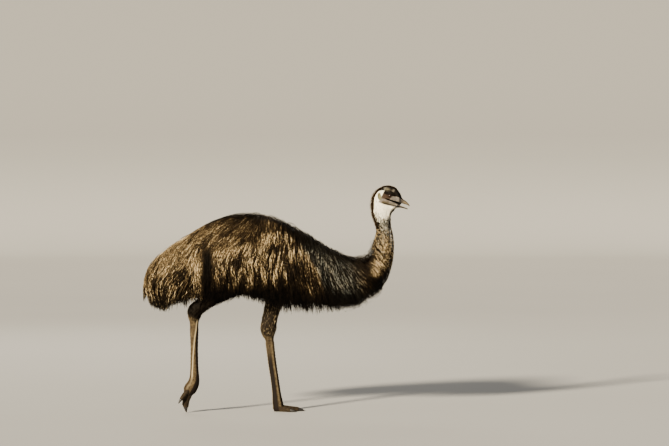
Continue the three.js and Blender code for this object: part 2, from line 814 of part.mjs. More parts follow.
// Toes fan out from the end of the shank. Each is a chain of pads: x, y, z, half height,
// half width, with the claw's tip last.
const TOES = {
  left: {
    inner: {
      pads: [link(66, 22, 17, 20, 17), link(106, 2, 13, 15, 14), link(134, -12, 11, 13, 12)],
      claw: [162, -26, 3],
    },
    middle: {
      pads: [link(74, 36, 18, 22, 19), link(130, 40, 14, 17, 17), link(178, 43, 11, 14, 14)],
      claw: [214, 45, 3],
    },
    outer: {
      pads: [link(66, 50, 17, 20, 17), link(104, 70, 13, 15, 14), link(130, 84, 11, 13, 12)],
      claw: [156, 98, 3],
    },
  },
  right: {
    inner: {
      pads: [link(-440, -42, 158, 15, 14), link(-468, -26, 112, 13, 13), link(-494, -16, 72, 11, 11)],
      claw: [-507, -9, 42],
    },
    middle: {
      pads: [link(-444, -48, 150, 17, 16), link(-470, -47, 84, 14, 14), link(-483, -45, 28, 12, 12)],
      claw: [-481, -43, 1],
    },
    outer: {
      pads: [link(-440, -56, 160, 15, 14), link(-476, -72, 118, 13, 13), link(-507, -82, 84, 11, 11)],
      claw: [-524, -89, 56],
    },
  },
};

const CLAW_SIDES = 6;
const SCALE_ROUGHNESS = 0.7;
const HORN_ROUGHNESS = 0.4;

function buildLeg(side) {
  const drumstick = drumstickSolid(side).subtract(coreSolid(GAP));
  addNode(`drumstick_${side}`, geometryOf(drumstick), COLOURS.legFeathers, PLUMAGE_ROUGHNESS);

  const floor = floorBlock();
  const shankSolid = (grow) =>
    solid(skinCapped(limbRings(SHANK[side], SHANK_SIDES, SHANK_SECTIONS, grow)));
  const shank = shankSolid(0).subtract(drumstickSolid(side, GAP)).subtract(floor);
  addNode(`shank_${side}`, geometryOf(shank), COLOURS.scales, SCALE_ROUGHNESS);

  let taken = shankSolid(GAP);
  for (const [name, toe] of Object.entries(TOES[side])) {
    const toeSolid = (grow) =>
      solid(skinCapped(limbRings(toe.pads, TOE_SIDES, TOE_SECTIONS, grow)));
    const body = toeSolid(0).subtract(taken).subtract(floor);
    addNode(`toe_${name}_${side}`, geometryOf(body), COLOURS.scales, SCALE_ROUGHNESS);
    taken = taken.add(toeSolid(GAP));
    const claw = solid(clawGeometry(toe)).subtract(taken).subtract(floor);
    addNode(`claw_${name}_${side}`, geometryOf(claw), COLOURS.claw, HORN_ROUGHNESS);
  }
}

function clawGeometry({ pads, claw }) {
  const end = pads.at(-1);
  const tip = new THREE.Vector3(...claw);
  const along = tip.clone().sub(end.place).normalize();
  const fore = new THREE.Vector3(0, 1, 0).cross(along).normalize();
  const across = along.clone().cross(fore);
  const root = end.place.clone().addScaledVector(along, GAP);
  const ring = (share, size) =>
    Array.from({ length: CLAW_SIDES }, (_, k) => {
      const angle = (k / CLAW_SIDES) * 2 * Math.PI;
      return root
        .clone()
        .lerp(tip, share)
        .addScaledVector(fore, end.depth * size * Math.cos(angle))
        .addScaledVector(across, end.width * size * Math.sin(angle));
    });
  return skinRings([ring(0, 0.78), ring(0.45, 0.6), ring(0.8, 0.3)], root, tip);
}

buildBody();
buildHead();
buildLeg("left");
buildLeg("right");

const box = new THREE.Box3().setFromObject(emu);
const centre = box.getCenter(new THREE.Vector3());
emu.position.set(-centre.x, -centre.y, -box.min.z);

export default emu;
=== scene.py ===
"""A life-size emu in mid stride, finished as a still display model in a pale studio.

Measures are millimetres in the bird's own frame, +X to the bill and +Z up, unless a name or a
docstring says metres. A station is a place along the body, counted in ribs from the tail.
"""

from __future__ import annotations

import logging
import math
from collections.abc import Callable, Sequence
from dataclasses import dataclass, field
from enum import Enum

import bmesh
import bpy
import numpy as np
from mathutils import Euler, Matrix, Vector

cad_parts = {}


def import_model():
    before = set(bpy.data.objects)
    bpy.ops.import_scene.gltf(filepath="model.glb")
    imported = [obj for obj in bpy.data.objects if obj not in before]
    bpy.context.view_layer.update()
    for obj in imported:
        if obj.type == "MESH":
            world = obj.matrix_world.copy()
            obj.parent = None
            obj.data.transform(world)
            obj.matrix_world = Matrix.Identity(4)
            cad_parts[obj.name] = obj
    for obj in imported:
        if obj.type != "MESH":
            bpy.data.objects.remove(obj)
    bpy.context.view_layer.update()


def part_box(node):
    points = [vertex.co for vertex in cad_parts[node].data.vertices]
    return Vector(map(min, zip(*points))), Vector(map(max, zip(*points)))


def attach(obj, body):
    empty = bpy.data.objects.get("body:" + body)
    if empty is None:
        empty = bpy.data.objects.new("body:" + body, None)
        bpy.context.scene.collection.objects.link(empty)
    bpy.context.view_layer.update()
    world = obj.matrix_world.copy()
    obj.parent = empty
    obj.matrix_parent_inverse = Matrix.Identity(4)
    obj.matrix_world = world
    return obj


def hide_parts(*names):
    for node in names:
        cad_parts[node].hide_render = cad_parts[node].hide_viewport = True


LOG = logging.getLogger("emu")
METRES = 0.001
SKIN_MAP = "OFBake"
HORN_MARKS = ("wear_and_highlight", "lilac", "hollow_shade")
SEAM_MERGE = 1e-6
SMALL_STEP = 1e-3
TURN = 2 * math.pi
DOWN = np.array([0.0, 0.0, -1.0])

Array = np.ndarray
Values = np.ndarray | float
Socket = bpy.types.NodeSocket
Piece = bpy.types.Object
Finish = bpy.types.Material
Colour = tuple[float, float, float]
Rows = tuple[tuple[float, ...], ...]
Marks = dict[str, Array]
Formula = Callable[[Array, Array], Array]
Marker = Callable[[Array, Array, Array], Marks]


class Side(Enum):
    """Side of the bird, with its sign along +Y."""

    LEFT = 1
    RIGHT = -1

    @property
    def word(self) -> str:
        """Name of the side as it stands in piece names."""
        return self.name.lower()


class Slot(Enum):
    """Material slots of the record."""

    BODY = "body_plumage"
    RUMP = "rump_plumage"
    BREAST = "breast_plumage"
    NECK = "neck_plumage"
    NECK_SKIN = "neck_skin"
    HEAD_SKIN = "head_skin"
    BEAK = "beak_horn"
    EYE = "eye"
    LEG_FEATHERS = "leg_feathers"
    LEG_SCALES = "leg_scales"
    CLAW = "claw_horn"


def smooth(value: Values, low: float, high: float) -> Array:
    """Ease from 0 at low to 1 at high."""
    share = np.clip((np.asarray(value, dtype=float) - low) / (high - low), 0.0, 1.0)
    return share * share * (3.0 - 2.0 * share)


def fall(value: Values, low: float, high: float) -> Array:
    """Ease from 1 at low to 0 at high."""
    return 1 - smooth(value, low, high)


def bell(value: Array, centre: Values, width: Values) -> Array:
    """Round bump of height 1 around a centre."""
    return np.exp(-(((value - centre) / width) ** 2))


def mix(first: Values, second: Values, share: Values) -> Array:
    """Blend two values by a share from 0 to 1."""
    return first + (second - first) * share


def unit(vectors: Array) -> Array:
    """Vectors at length 1."""
    return vectors / np.maximum(np.linalg.norm(vectors, axis=-1, keepdims=True), 1e-9)


def spline(rows: Array, at: Array) -> Array:
    """Smooth curve through rows of values.

    Args:
        rows: One row of values for each whole number along the curve.
        at: Places along the curve, 0 for the first row.

    Returns:
        The values at each place.
    """
    padded = np.vstack([2 * rows[0] - rows[1], rows, 2 * rows[-1] - rows[-2]])
    first = np.clip(np.floor(at).astype(int), 0, len(rows) - 2)
    t = (at - first)[..., None]
    before, start, end, after = (padded[first + k] for k in range(4))
    leave = 0.5 * (end - before)
    arrive = 0.5 * (after - start)
    bend = -3 * start + 3 * end - 2 * leave - arrive
    return start + t * (leave + t * (bend + t * (2 * start - 2 * end + leave + arrive)))


def capped(along: Array, cap: float) -> tuple[Array, Array]:
    """Close the ends of a tube.

    Args:
        along: Share of the tube's rows.
        cap: Share of the rows that rounds off each end.

    Returns:
        Share of the tube's length, and how far each row is drawn in.
    """
    share = np.clip((along - cap) / (1 - 2 * cap), 0.0, 1.0)
    edge = np.clip(np.minimum(along, 1 - along) / cap, 0.0, 1.0)
    return share, np.sqrt(np.maximum(1 - (1 - edge) ** 2, 0.0))


@dataclass(frozen=True)
class Fade:
    """Ease from 0 at one value to 1 at another."""

    low: float
    high: float

    def __call__(self, value: Values) -> Array:
        """How far along the fade a value is."""
        return smooth(value, self.low, self.high)

    def off(self, value: Values) -> Array:
        """How far a value still is from the fade's end."""
        return 1 - self(value)


@dataclass(frozen=True)
class Bump:
    """Round bump of height 1 around a centre."""

    centre: float
    width: float

    def __call__(self, value: Array) -> Array:
        """Height of the bump at a value."""
        return bell(value, self.centre, self.width)


@dataclass(frozen=True)
class Face:
    """Directions of the face: along the bill, across and up, from a point between the eyes."""

    x: float = 717.0
    z: float = 1280.0
    pitch: float = math.radians(-18)

    def point(self, along: Values, across: Values, up: Values) -> Array:
        """Turn measures of the face into a place.

        Args:
            along: How far ahead along the bill.
            across: How far to the left.
            up: How far up the face.

        Returns:
            The place in the bird's frame.
        """
        cos, sin = math.cos(self.pitch), math.sin(self.pitch)
        along, across, up = np.broadcast_arrays(along, across, up)
        x, z = self.x + along * cos - up * sin, self.z + along * sin + up * cos
        return np.stack([x, across, z], -1)

    def read(self, places: Array) -> tuple[Array, Array]:
        """Turn places into measures of the face.

        Args:
            places: Places in the bird's frame.

        Returns:
            How far they lie along the bill and up the face.
        """
        cos, sin = math.cos(self.pitch), math.sin(self.pitch)
        dx, dz = places[..., 0] - self.x, places[..., 2] - self.z
        return dx * cos + dz * sin, dz * cos - dx * sin


FACE = Face()


class Frame:
    """Where the bird's own measures lie in the shared frame."""

    EYE_PLACE = Vector((0.717, 0.0, 1.28))

    def __init__(self) -> None:
        """Take the shift, in metres, from the two eyes' boxes."""
        corners = [Vector(corner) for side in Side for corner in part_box(f"eye_{side.word}")]
        centre = sum(corners, Vector()) / len(corners)
        self.shift = np.array(centre - self.EYE_PLACE)

    def place(self, points: Array) -> Array:
        """Points in metres in the shared frame."""
        return points * METRES + self.shift


@dataclass
class Outline:
    """Outer surface of body, neck and head, blended through ribs from the tail to the bill.

    Each rib has back x and z, belly x and z, half width, widest share and the coat's depth.
    """

    ribs: Rows
    skirt: float = 1.9
    core_of_coat: float = 0.5
    core_of_rise: float = 0.24

    def __post_init__(self) -> None:
        """Keep the ribs as one table."""
        self.table = np.array(self.ribs, dtype=float)
        self.last = len(self.ribs) - 1

    def rib(self, station: Array, inset: Values = 0.0) -> tuple[Array, ...]:
        """Ribs at some stations.

        Args:
            station: Stations along the body.
            inset: How deep under the surface; the belly is drawn in deeper, by the skirt.

        Returns:
            Foot, rise, half width and widest share.
        """
        row = spline(self.table, station)
        zero = np.zeros_like(row[..., 0])
        back = np.stack([row[..., 0], zero, row[..., 1]], -1)
        belly = np.stack([row[..., 2], zero, row[..., 3]], -1)
        rise = back - belly
        up = unit(rise)
        inset = np.broadcast_to(inset, zero.shape)
        lift = np.where(inset > 0, inset * self.skirt, inset)
        foot = belly + up * lift[..., None]
        return foot, rise - up * (inset + lift)[..., None], row[..., 4] - inset, row[..., 5]

    def coat(self, station: Array) -> Array:
        """Depth of the coat at some stations."""
        return np.maximum(spline(self.table, station)[..., 6], 0.0)

    def core_inset(self, station: Array) -> Array:
        """How deep the skin lies under the coat's surface."""
        height = np.linalg.norm(self.rib(station)[1], axis=-1)
        return np.minimum(self.core_of_coat * self.coat(station), self.core_of_rise * height)

    def point(self, station: Array, angle: Array, inset: Values = 0.0) -> Array:
        """Points of the surface.

        Args:
            station: Stations along the body.
            angle: Angles round it, 0 on the back and positive on the left.
            inset: How deep under the surface.

        Returns:
            The places.
        """
        foot, rise, half, widest = self.rib(station, inset)
        lift = np.cos(angle)
        share = widest + np.where(lift > 0, 1 - widest, widest) * lift
        place = foot + rise * share[..., None]
        place[..., 1] = half * np.sin(angle)
        return place

    def directions(self, station: Array, angle: Array) -> tuple[Array, ...]:
        """Directions at points of the surface.

        Args:
            station: Stations along the body.
            angle: Angles round it.

        Returns:
            The way out, and the moves per unit of station and of angle.
        """
        step = SMALL_STEP
        per_station = self.point(station + step, angle) - self.point(station - step, angle)
        per_angle = self.point(station, angle + step) - self.point(station, angle - step)
        out = unit(np.cross(per_station, per_angle))
        return out, per_station / (2 * step), per_angle / (2 * step)


BODY_RIBS = (
    (-738, 752, -730, 712, 34, 0.5, 40),
    (-706, 842, -694, 654, 94, 0.46, 56),
    (-640, 920, -622, 617, 148, 0.43, 60),
    (-540, 1001, -532, 622, 188, 0.42, 62),
    (-420, 1080, -416, 646, 214, 0.42, 64),
    (-285, 1146, -285, 664, 232, 0.42, 64),
    (-150, 1180, -150, 653, 240, 0.43, 64),
    (-15, 1176, -10, 632, 237, 0.43, 64),
    (115, 1130, 125, 628, 225, 0.44, 64),
    (235, 1068, 258, 622, 206, 0.45, 62),
    (345, 999, 385, 611, 180, 0.46, 58),
    (440, 941, 490, 620, 152, 0.48, 52),
    (518, 914, 580, 664, 124, 0.5, 45),
    (572, 912, 655, 727, 98, 0.5, 38),
    (600, 942, 706, 800, 78, 0.5, 32),
    (617, 985, 730, 880, 64, 0.5, 28),
    (629, 1028, 740, 962, 54, 0.5, 24),
    (637, 1075, 736, 1040, 47, 0.5, 18),
    (628, 1120, 722, 1105, 43, 0.5, 6),
    (613, 1165, 720, 1147, 41, 0.5, 0),
    (609, 1212, 722, 1168, 41, 0.5, 0),
    (612, 1250, 728, 1181, 40, 0.52, 0),
    (622, 1288, 735, 1190, 39, 0.54, 0),
    (650, 1322, 741, 1195, 39, 0.55, 0),
    (697, 1341, 746, 1199, 39, 0.55, 0),
    (746, 1331, 751, 1203, 34, 0.52, 0),
    (776, 1297, 756, 1206, 24, 0.42, 0),
    (789, 1270, 762, 1209, 16.5, 0.46, 0),
    (798, 1257, 768, 1211, 10, 0.5, 0),
)


class Limb:
    """Tube of flesh along links, each with its place, half depth and half width."""

    SIDE_RELIEF = 0.4

    def __init__(self, links: Sequence[Sequence[float]], relief: Formula | None = None) -> None:
        """Keep the limb's shape.

        Args:
            links: The links.
            relief: What scutes add to the half depth.
        """
        self.links = np.array(links, dtype=float)
        self.last = len(links) - 1
        self.relief = relief

    def axis(self, share: Array) -> tuple[Array, ...]:
        """Middle line of the limb.

        Args:
            share: Shares of the length.

        Returns:
            Centre, forward and sideways directions, half depth and half width.
        """
        at = share * self.last
        row = spline(self.links, at)
        ahead = spline(self.links, np.minimum(at + SMALL_STEP, self.last))[..., :3]
        behind = spline(self.links, np.maximum(at - SMALL_STEP, 0.0))[..., :3]
        along = unit(ahead - behind)
        fore = unit(np.cross(np.array([0.0, 1.0, 0.0]), along))
        return row[..., :3], fore, np.cross(along, fore), row[..., 3], row[..., 4]

    def point(self, share: Array, angle: Array, inset: Values = 0.0) -> Array:
        """Points of the limb.

        Args:
            share: Shares of the length.
            angle: Angles round it, 0 in front and a quarter turn on the side.
            inset: How deep under the surface.

        Returns:
            The places.
        """
        centre, fore, sideways, depth, width = self.axis(share)
        raised = self.relief(share, angle) if self.relief else 0.0
        deep = (depth + raised - inset) * np.cos(angle)
        wide = (width + self.SIDE_RELIEF * raised - inset) * np.sin(angle)
        return centre + fore * deep[..., None] + sideways * wide[..., None]

    def directions(self, share: Array, angle: Array) -> tuple[Array, ...]:
        """Directions at points of the limb.

        Args:
            share: Shares of the length.
            angle: Angles round it.

        Returns:
            The way out, and the moves per unit of share and of angle.
        """
        step = SMALL_STEP
        per_share = self.point(share + step, angle) - self.point(share - step, angle)
        per_angle = self.point(share, angle + step) - self.point(share, angle - step)
        out = unit(np.cross(per_angle, per_share))
        centre = self.axis(share)[0]
        outward = np.sum(out * (self.point(share, angle) - centre), axis=-1, keepdims=True)
        return out * np.sign(outward), per_share / (2 * step), per_angle / (2 * step)

    def tube(self, cap: float, tip: float = 0.0) -> Formula:
        """Make the formula of a closed tube that never dips under the floor.

        Args:
            cap: Share of the rows that rounds off each end.
            tip: How far the far end bulges past the last link.

        Returns:
            The formula.
        """

        def formula(along: Array, around: Array) -> Array:
            """Bend the grid of the tube.

            Args:
                along: Shares of the rows.
                around: Shares of the way round.

            Returns:
                The places.
            """
            share, drawn = capped(along, cap)
            centre = self.axis(share)[0]
            place = centre + (self.point(share, around * TURN) - centre) * drawn[..., None]
            ahead = self.axis(np.ones(1))[0] - self.axis(np.full(1, 0.9))[0]
            bulge = np.where(along > 0.5, 1 - drawn, 0.0)[..., None]
            place = place + unit(ahead) * bulge * tip
            place[..., 2] = np.maximum(place[..., 2], 0.0)
            return place

        return formula


@dataclass(frozen=True)
class Shell:
    """Closed tube of skin or horn, made from a grid that is bent by a formula."""

    rows: int
    columns: int
    formula: Formula
    marks: Marker
    patch: tuple[float, float, float, float] = (0.0, 0.0, 1.0, 1.0)

    def mesh(self, frame: Frame, names: Sequence[str]) -> bpy.types.Mesh:
        """Build the shell's mesh.

        Args:
            frame: The shared frame.
            names: Marks that the mesh carries; one that the shell doesn't set is 0.

        Returns:
            The mesh, with its seam and poles still open.
        """
        bm = bmesh.new()
        bmesh.ops.create_grid(bm, x_segments=self.columns, y_segments=self.rows, size=0.5)
        mesh = bpy.data.meshes.new("shell")
        bm.to_mesh(mesh)
        bm.free()
        count = len(mesh.vertices)
        flat = np.empty(count * 3)
        mesh.vertices.foreach_get("co", flat)
        around, along = flat.reshape(-1, 3)[:, 0] + 0.5, flat.reshape(-1, 3)[:, 1] + 0.5
        places = self.formula(along, around)
        marks = self.marks(places, along, around)
        for name in names:
            layer = mesh.attributes.new(name, "FLOAT", "POINT")
            values = np.broadcast_to(marks.get(name, 0.0), (count,)).astype(np.float32)
            layer.data.foreach_set("value", np.ascontiguousarray(values))
        corner = np.empty(len(mesh.loops), dtype=np.int32)
        mesh.loops.foreach_get("vertex_index", corner)
        u0, v0, u1, v1 = self.patch
        spread = np.stack([mix(u0, u1, around[corner]), mix(v0, v1, along[corner])], -1)
        uv = mesh.uv_layers.new(name=SKIN_MAP)
        uv.data.foreach_set("uv", spread.astype(np.float32).ravel())
        mesh.vertices.foreach_set("co", frame.place(places).ravel())
        return mesh


def placed(name: str, data: bpy.types.ID) -> Piece:
    """Put a mesh, lamp or camera in the scene.

    Args:
        name: Name of the object.
        data: What it holds.

    Returns:
        The object.
    """
    piece = bpy.data.objects.new(name, data)
    bpy.context.scene.collection.objects.link(piece)
    return piece


def piece_of(name: str, meshes: Sequence[bpy.types.Mesh]) -> Piece:
    """Join meshes into one smooth piece with closed seams and outward faces.

    Args:
        name: Name of the piece.
        meshes: The meshes, which are used up.

    Returns:
        The piece.
    """
    bm = bmesh.new()
    for mesh in meshes:
        bm.from_mesh(mesh)
        bpy.data.meshes.remove(mesh)
    bmesh.ops.remove_doubles(bm, verts=bm.verts, dist=SEAM_MERGE)
    bmesh.ops.dissolve_degenerate(bm, edges=bm.edges, dist=SEAM_MERGE)
    bmesh.ops.recalc_face_normals(bm, faces=bm.faces)
    joined = bpy.data.meshes.new(name)
    bm.to_mesh(joined)
    bm.free()
    joined.shade_smooth()
    return placed(name, joined)


def dress(piece: Piece, finish: Finish) -> Piece:
    """Set a piece on the bird's one body and give it its finish.

    Args:
        piece: The piece.
        finish: Its material.

    Returns:
        The same piece.
    """
    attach(piece, "root")
    piece.data.materials.append(finish)
    return piece


class Painter:
    """Builds one finish step by step from shader nodes."""

    def __init__(self, name: str) -> None:
        """Start an empty finish.

        Args:
            name: Its name.
        """
        self.material = bpy.data.materials.new(name)
        self.material.use_nodes = True
        self.tree = self.material.node_tree
        self.tree.nodes.clear()
        self.shader = self._node("BsdfPrincipled")
        output = self._node("OutputMaterial")
        self._link(self.shader.outputs["BSDF"], output.inputs["Surface"])
        self.coordinates = self._node("TexCoord")

    def _node(self, kind: str) -> bpy.types.Node:
        """New node of a kind."""
        return self.tree.nodes.new(f"ShaderNode{kind}")

    def _link(self, source: Socket, target: Socket) -> None:
        """Link two sockets."""
        self.tree.links.new(source, target)

    def _feed(self, socket: Socket, value: Socket | Colour | float) -> None:
        """Give a socket its input.

        Args:
            socket: The socket.
            value: Another socket to link, or a number or colour to keep.
        """
        if isinstance(value, Socket):
            self._link(value, socket)
        elif isinstance(value, (int, float)):
            socket.default_value = value
        else:
            socket.default_value = (*value, 1.0)

    def _pattern(self, kind: str, scale: float, stretch: Colour) -> bpy.types.Node:
        """Start a pattern in the piece's own place.

        Args:
            kind: Kind of texture node.
            scale: Repeats to a metre.
            stretch: How much closer they lie along each axis.

        Returns:
            The texture's node.
        """
        mapping = self._node("Mapping")
        mapping.inputs["Scale"].default_value = stretch
        self._link(self.coordinates.outputs["Object"], mapping.inputs["Vector"])
        node = self._node(kind)
        node.inputs["Scale"].default_value = scale
        self._link(mapping.outputs["Vector"], node.inputs["Vector"])
        return node

    def attribute(self, name: str) -> Socket:
        """Read a mark that the piece carries.

        Args:
            name: Name of the mark.

        Returns:
            Its value.
        """
        node = self._node("Attribute")
        node.attribute_name = name
        return node.outputs["Fac"]

    def noise(self, scale: float, detail: float = 3.0, stretch: Colour = (1, 1, 1)) -> Socket:
        """Make a cloudy pattern.

        Args:
            scale: Clouds to a metre.
            detail: Number of finer layers.
            stretch: How much closer they lie along each axis.

        Returns:
            The pattern's value.
        """
        node = self._pattern("TexNoise", scale, stretch)
        node.inputs["Detail"].default_value = detail
        return node.outputs["Fac"]

    def cells(self, scale: float, stretch: Colour) -> Socket:
        """Make a pattern of cells, as of small scales.

        Args:
            scale: Cells to a metre.
            stretch: How much closer they lie along each axis.

        Returns:
            Distance to the nearest edge between cells.
        """
        node = self._pattern("TexVoronoi", scale, stretch)
        node.feature = "DISTANCE_TO_EDGE"
        return node.outputs["Distance"]

    def math(
        self,
        operation: str,
        first: Socket,
        second: Socket | float,
        clamp: bool = False,
        addend: float = 0.0,
    ) -> Socket:
        """Work out a sum, a product or the like.

        Args:
            operation: The node's operation.
            first: First value.
            second: Second value.
            clamp: Whether the result is kept from 0 to 1.
            addend: What is added after a multiply-add.

        Returns:
            The result.
        """
        node = self._node("Math")
        node.operation = operation
        node.use_clamp = clamp
        node.inputs[2].default_value = addend
        self._link(first, node.inputs[0])
        self._feed(node.inputs[1], second)
        return node.outputs["Value"]

    def centred(self, value: Socket) -> Socket:
        """A pattern's value about 0."""
        return self.math("SUBTRACT", value, 0.5)

    def ramp(self, factor: Socket, stops: Sequence[tuple[float, Colour]]) -> Socket:
        """Change a colour through stops.

        Args:
            factor: The value that chooses the colour.
            stops: Values with their colours.

        Returns:
            The colour.
        """
        node = self._node("ValToRGB")
        elements = node.color_ramp.elements
        while len(elements) < len(stops):
            elements.new(0.5)
        for element, (place, colour) in zip(elements, stops):
            element.position = place
            element.color = (*colour, 1.0)
        self._link(factor, node.inputs["Fac"])
        return node.outputs["Color"]

    def fade(self, factor: Socket, low: float, high: float) -> Socket:
        """Black below one value and white above another."""
        return self.ramp(factor, ((low, (0, 0, 0)), (high, (1, 1, 1))))

    def blend(
        self, factor: Socket | float, first: Socket | Colour, second: Socket | Colour
    ) -> Socket:
        """Mix two colours.

        Args:
            factor: Share of the second.
            first: First colour.
            second: Second colour.

        Returns:
            The mixed colour.
        """
        node = self._node("Mix")
        node.data_type = "RGBA"
        for socket, value in zip((node.inputs[0], *node.inputs[6:8]), (factor, first, second)):
            self._feed(socket, value)
        return node.outputs[2]

    def bump(
        self, height: Socket, strength: float, distance: float, over: Socket | None = None
    ) -> Socket:
        """Add fine relief in the shading.

        Args:
            height: The relief's height.
            strength: Share of it that shows.
            distance: Its full height in metres.
            over: Another relief that it is laid over.

        Returns:
            The relief.
        """
        node = self._node("Bump")
        node.inputs["Strength"].default_value = strength
        node.inputs["Distance"].default_value = distance
        self._link(height, node.inputs["Height"])
        if over is not None:
            self._link(over, node.inputs["Normal"])
        return node.outputs["Normal"]

    def finish(
        self,
        colour: Socket,
        roughness: float,
        normal: Socket | None = None,
        specular: float = 0.5,
    ) -> Finish:
        """Close the finish.

        Args:
            colour: Its colour.
            roughness: How matt it is.
            normal: Its relief.
            specular: How strongly it mirrors.

        Returns:
            The material.
        """
        self._link(colour, self.shader.inputs["Base Color"])
        self.shader.inputs["Roughness"].default_value = roughness
        self.shader.inputs["Specular IOR Level"].default_value = specular
        if normal is not None:
            self._link(normal, self.shader.inputs["Normal"])
        return self.material


@dataclass(frozen=True)
class PlumageFinish:
    """Colours of the feathers, from dark bases to sunlit tan, and silvery ones partly painted sky
    shade.
    """

    name: str = "plumage"
    dark: Colour = (0.0045, 0.0032, 0.002)
    brown: Colour = (0.04, 0.026, 0.013)
    tan: Colour = (0.21, 0.14, 0.062)
    gold: Colour = (0.72, 0.54, 0.29)
    sky_shade_slate: Colour = (0.018, 0.019, 0.016)
    silver: Colour = (0.25, 0.255, 0.215)
    brown_at: float = 0.3
    tan_at: float = 0.62
    roughness: float = 0.55
    specular: float = 0.04
    fleck_scale: float = 200.0
    fleck_stretch: Colour = (1.0, 1.0, 0.36)
    fleck_spread: float = 4.2
    fleck_middle: float = 0.9
    fleck_least: float = 0.06

    def colour(self, painter: Painter) -> Socket:
        """Colour the feathers by their tone mark and their silvery mark, which is partly painted
        sky-lit shade, broken up into small flecks.

        Args:
            painter: The finish that is being built.

        Returns:
            The colour.
        """
        fleck = painter.noise(self.fleck_scale, 2.0, self.fleck_stretch)
        middle = painter.centred(fleck)
        spread = painter.math("MULTIPLY_ADD", middle, self.fleck_spread, addend=self.fleck_middle)
        mark = painter.attribute("tone")
        tone = painter.math("MULTIPLY", mark, painter.math("MAXIMUM", spread, self.fleck_least))
        dark, gold = (0, self.dark), (1, self.gold)
        browns = (dark, (self.brown_at, self.brown), (self.tan_at, self.tan), gold)
        warm = painter.ramp(tone, browns)
        # cool ramp: a shaded copy of the plumage as lit by the sky, painted shade and partly the
        # feathers' own silvery grey
        cool = painter.ramp(tone, (dark, (self.brown_at, self.sky_shade_slate), (1, self.silver)))
        return painter.blend(painter.attribute("silver"), warm, cool)

    def material(self) -> Finish:
        """Finish of every coat piece."""
        painter = Painter(self.name)
        return painter.finish(self.colour(painter), self.roughness, specular=self.specular)


@dataclass(frozen=True)
class SkinFinish:
    """Colours of the bare skin by its marks, with the plumage's own where feathers grow."""

    plumage: PlumageFinish
    bare: Colour = (0.95, 0.91, 0.7)
    blush: Colour = (0.74, 0.6, 0.42)
    lilac: Colour = (0.25, 0.215, 0.18)
    brown: Colour = (0.04, 0.024, 0.015)
    # the crown mark also lays this near black as painted shadow over the brow and round the eye
    crown: Colour = (0.006, 0.0045, 0.0032)
    ear: Colour = (0.13, 0.118, 0.058)
    # near black of the open gape: painted shade
    hollow_shade: Colour = (0.002, 0.0014, 0.001)
    scale: Colour = (0.055, 0.037, 0.018)
    dark_joint_and_shade: Colour = (0.008, 0.0055, 0.004)
    scale_pale: Colour = (0.15, 0.108, 0.054)
    # pale streaks on the shanks: painted highlight
    streak: Colour = (0.45, 0.35, 0.2)
    wrinkle_scale: float = 420.0
    blotch_scale: float = 70.0
    ragged_scale: float = 330.0
    raggedness: float = 1.9
    cell_scale: float = 190.0
    cell_stretch: Colour = (1, 1, 0.8)
    roughness: float = 0.66
    specular: float = 0.05

    def stained(self, painter: Painter, colour: Socket) -> Socket:
        """Lay the stains of head and neck over the bare skin, each with a ragged edge, then the
        painted shade of the open gape.

        Args:
            painter: The finish that is being built.
            colour: Colour of the bare skin.

        Returns:
            The stained colour.
        """
        cloud = painter.noise(self.ragged_scale, 3.0, (1, 1, 0.7))
        ragged = painter.math("MULTIPLY", painter.centred(cloud), self.raggedness)
        for name in ("lilac", "brown", "ear", "crown"):
            mark = painter.attribute(name)
            present = painter.math("SUBTRACT", mark, 0.02)
            weight = painter.math("MULTIPLY", present, 60.0, clamp=True)
            even = painter.math("MULTIPLY_ADD", mark, 1.35, addend=-0.08)
            swing = painter.math("MULTIPLY", ragged, painter.math("MULTIPLY", weight, 0.5))
            uneven = painter.math("ADD", even, swing)
            share = painter.math("MULTIPLY", uneven, 1.0, clamp=True)
            colour = painter.blend(share, colour, getattr(self, name))
        # the open gape is painted black as shade
        return painter.blend(painter.attribute("hollow_shade"), colour, self.hollow_shade)

    def scales(self, painter: Painter, blotch: Socket) -> Socket:
        """Colour the scales of legs and toes, with painted highlight streaks and painted shade.

        Args:
            painter: The finish that is being built.
            blotch: Cloudy pattern of paler scales.

        Returns:
            The colour.
        """
        speckle = painter.ramp(blotch, ((0.35, self.scale), (0.7, self.scale_pale)))
        gap = painter.fade(painter.cells(self.cell_scale, self.cell_stretch), 0.0, 0.16)
        scaly = painter.blend(gap, self.dark_joint_and_shade, speckle)
        # painted highlight streak down the shanks
        scaly = painter.blend(painter.attribute("streak"), scaly, self.streak)
        # painted shade on the shanks' edges and over the feet, partly the toes' own dark scales
        return painter.blend(painter.attribute("dark_scales_and_shade"), scaly, self.dark_joint_and_shade)

    def material(self) -> Finish:
        """Finish of the one skin.

        Returns:
            The material.
        """
        painter = Painter("skin")
        wrinkle = painter.noise(self.wrinkle_scale, 4.0, (1, 1, 2.2))
        blotch = painter.noise(self.blotch_scale, 4.0)
        colour = painter.blend(painter.fade(blotch, 0.45, 0.8), self.bare, self.blush)
        colour = self.stained(painter, colour)
        scaly = self.scales(painter, blotch)
        colour = painter.blend(painter.attribute("scaled"), colour, scaly)
        colour = painter.blend(painter.attribute("plumed"), colour, self.plumage.colour(painter))
        relief = painter.bump(wrinkle, 0.35, 0.0012)
        cells = painter.cells(self.cell_scale, self.cell_stretch)
        relief = painter.bump(cells, 0.3, 0.001, relief)
        return painter.finish(colour, self.roughness, relief, self.specular)


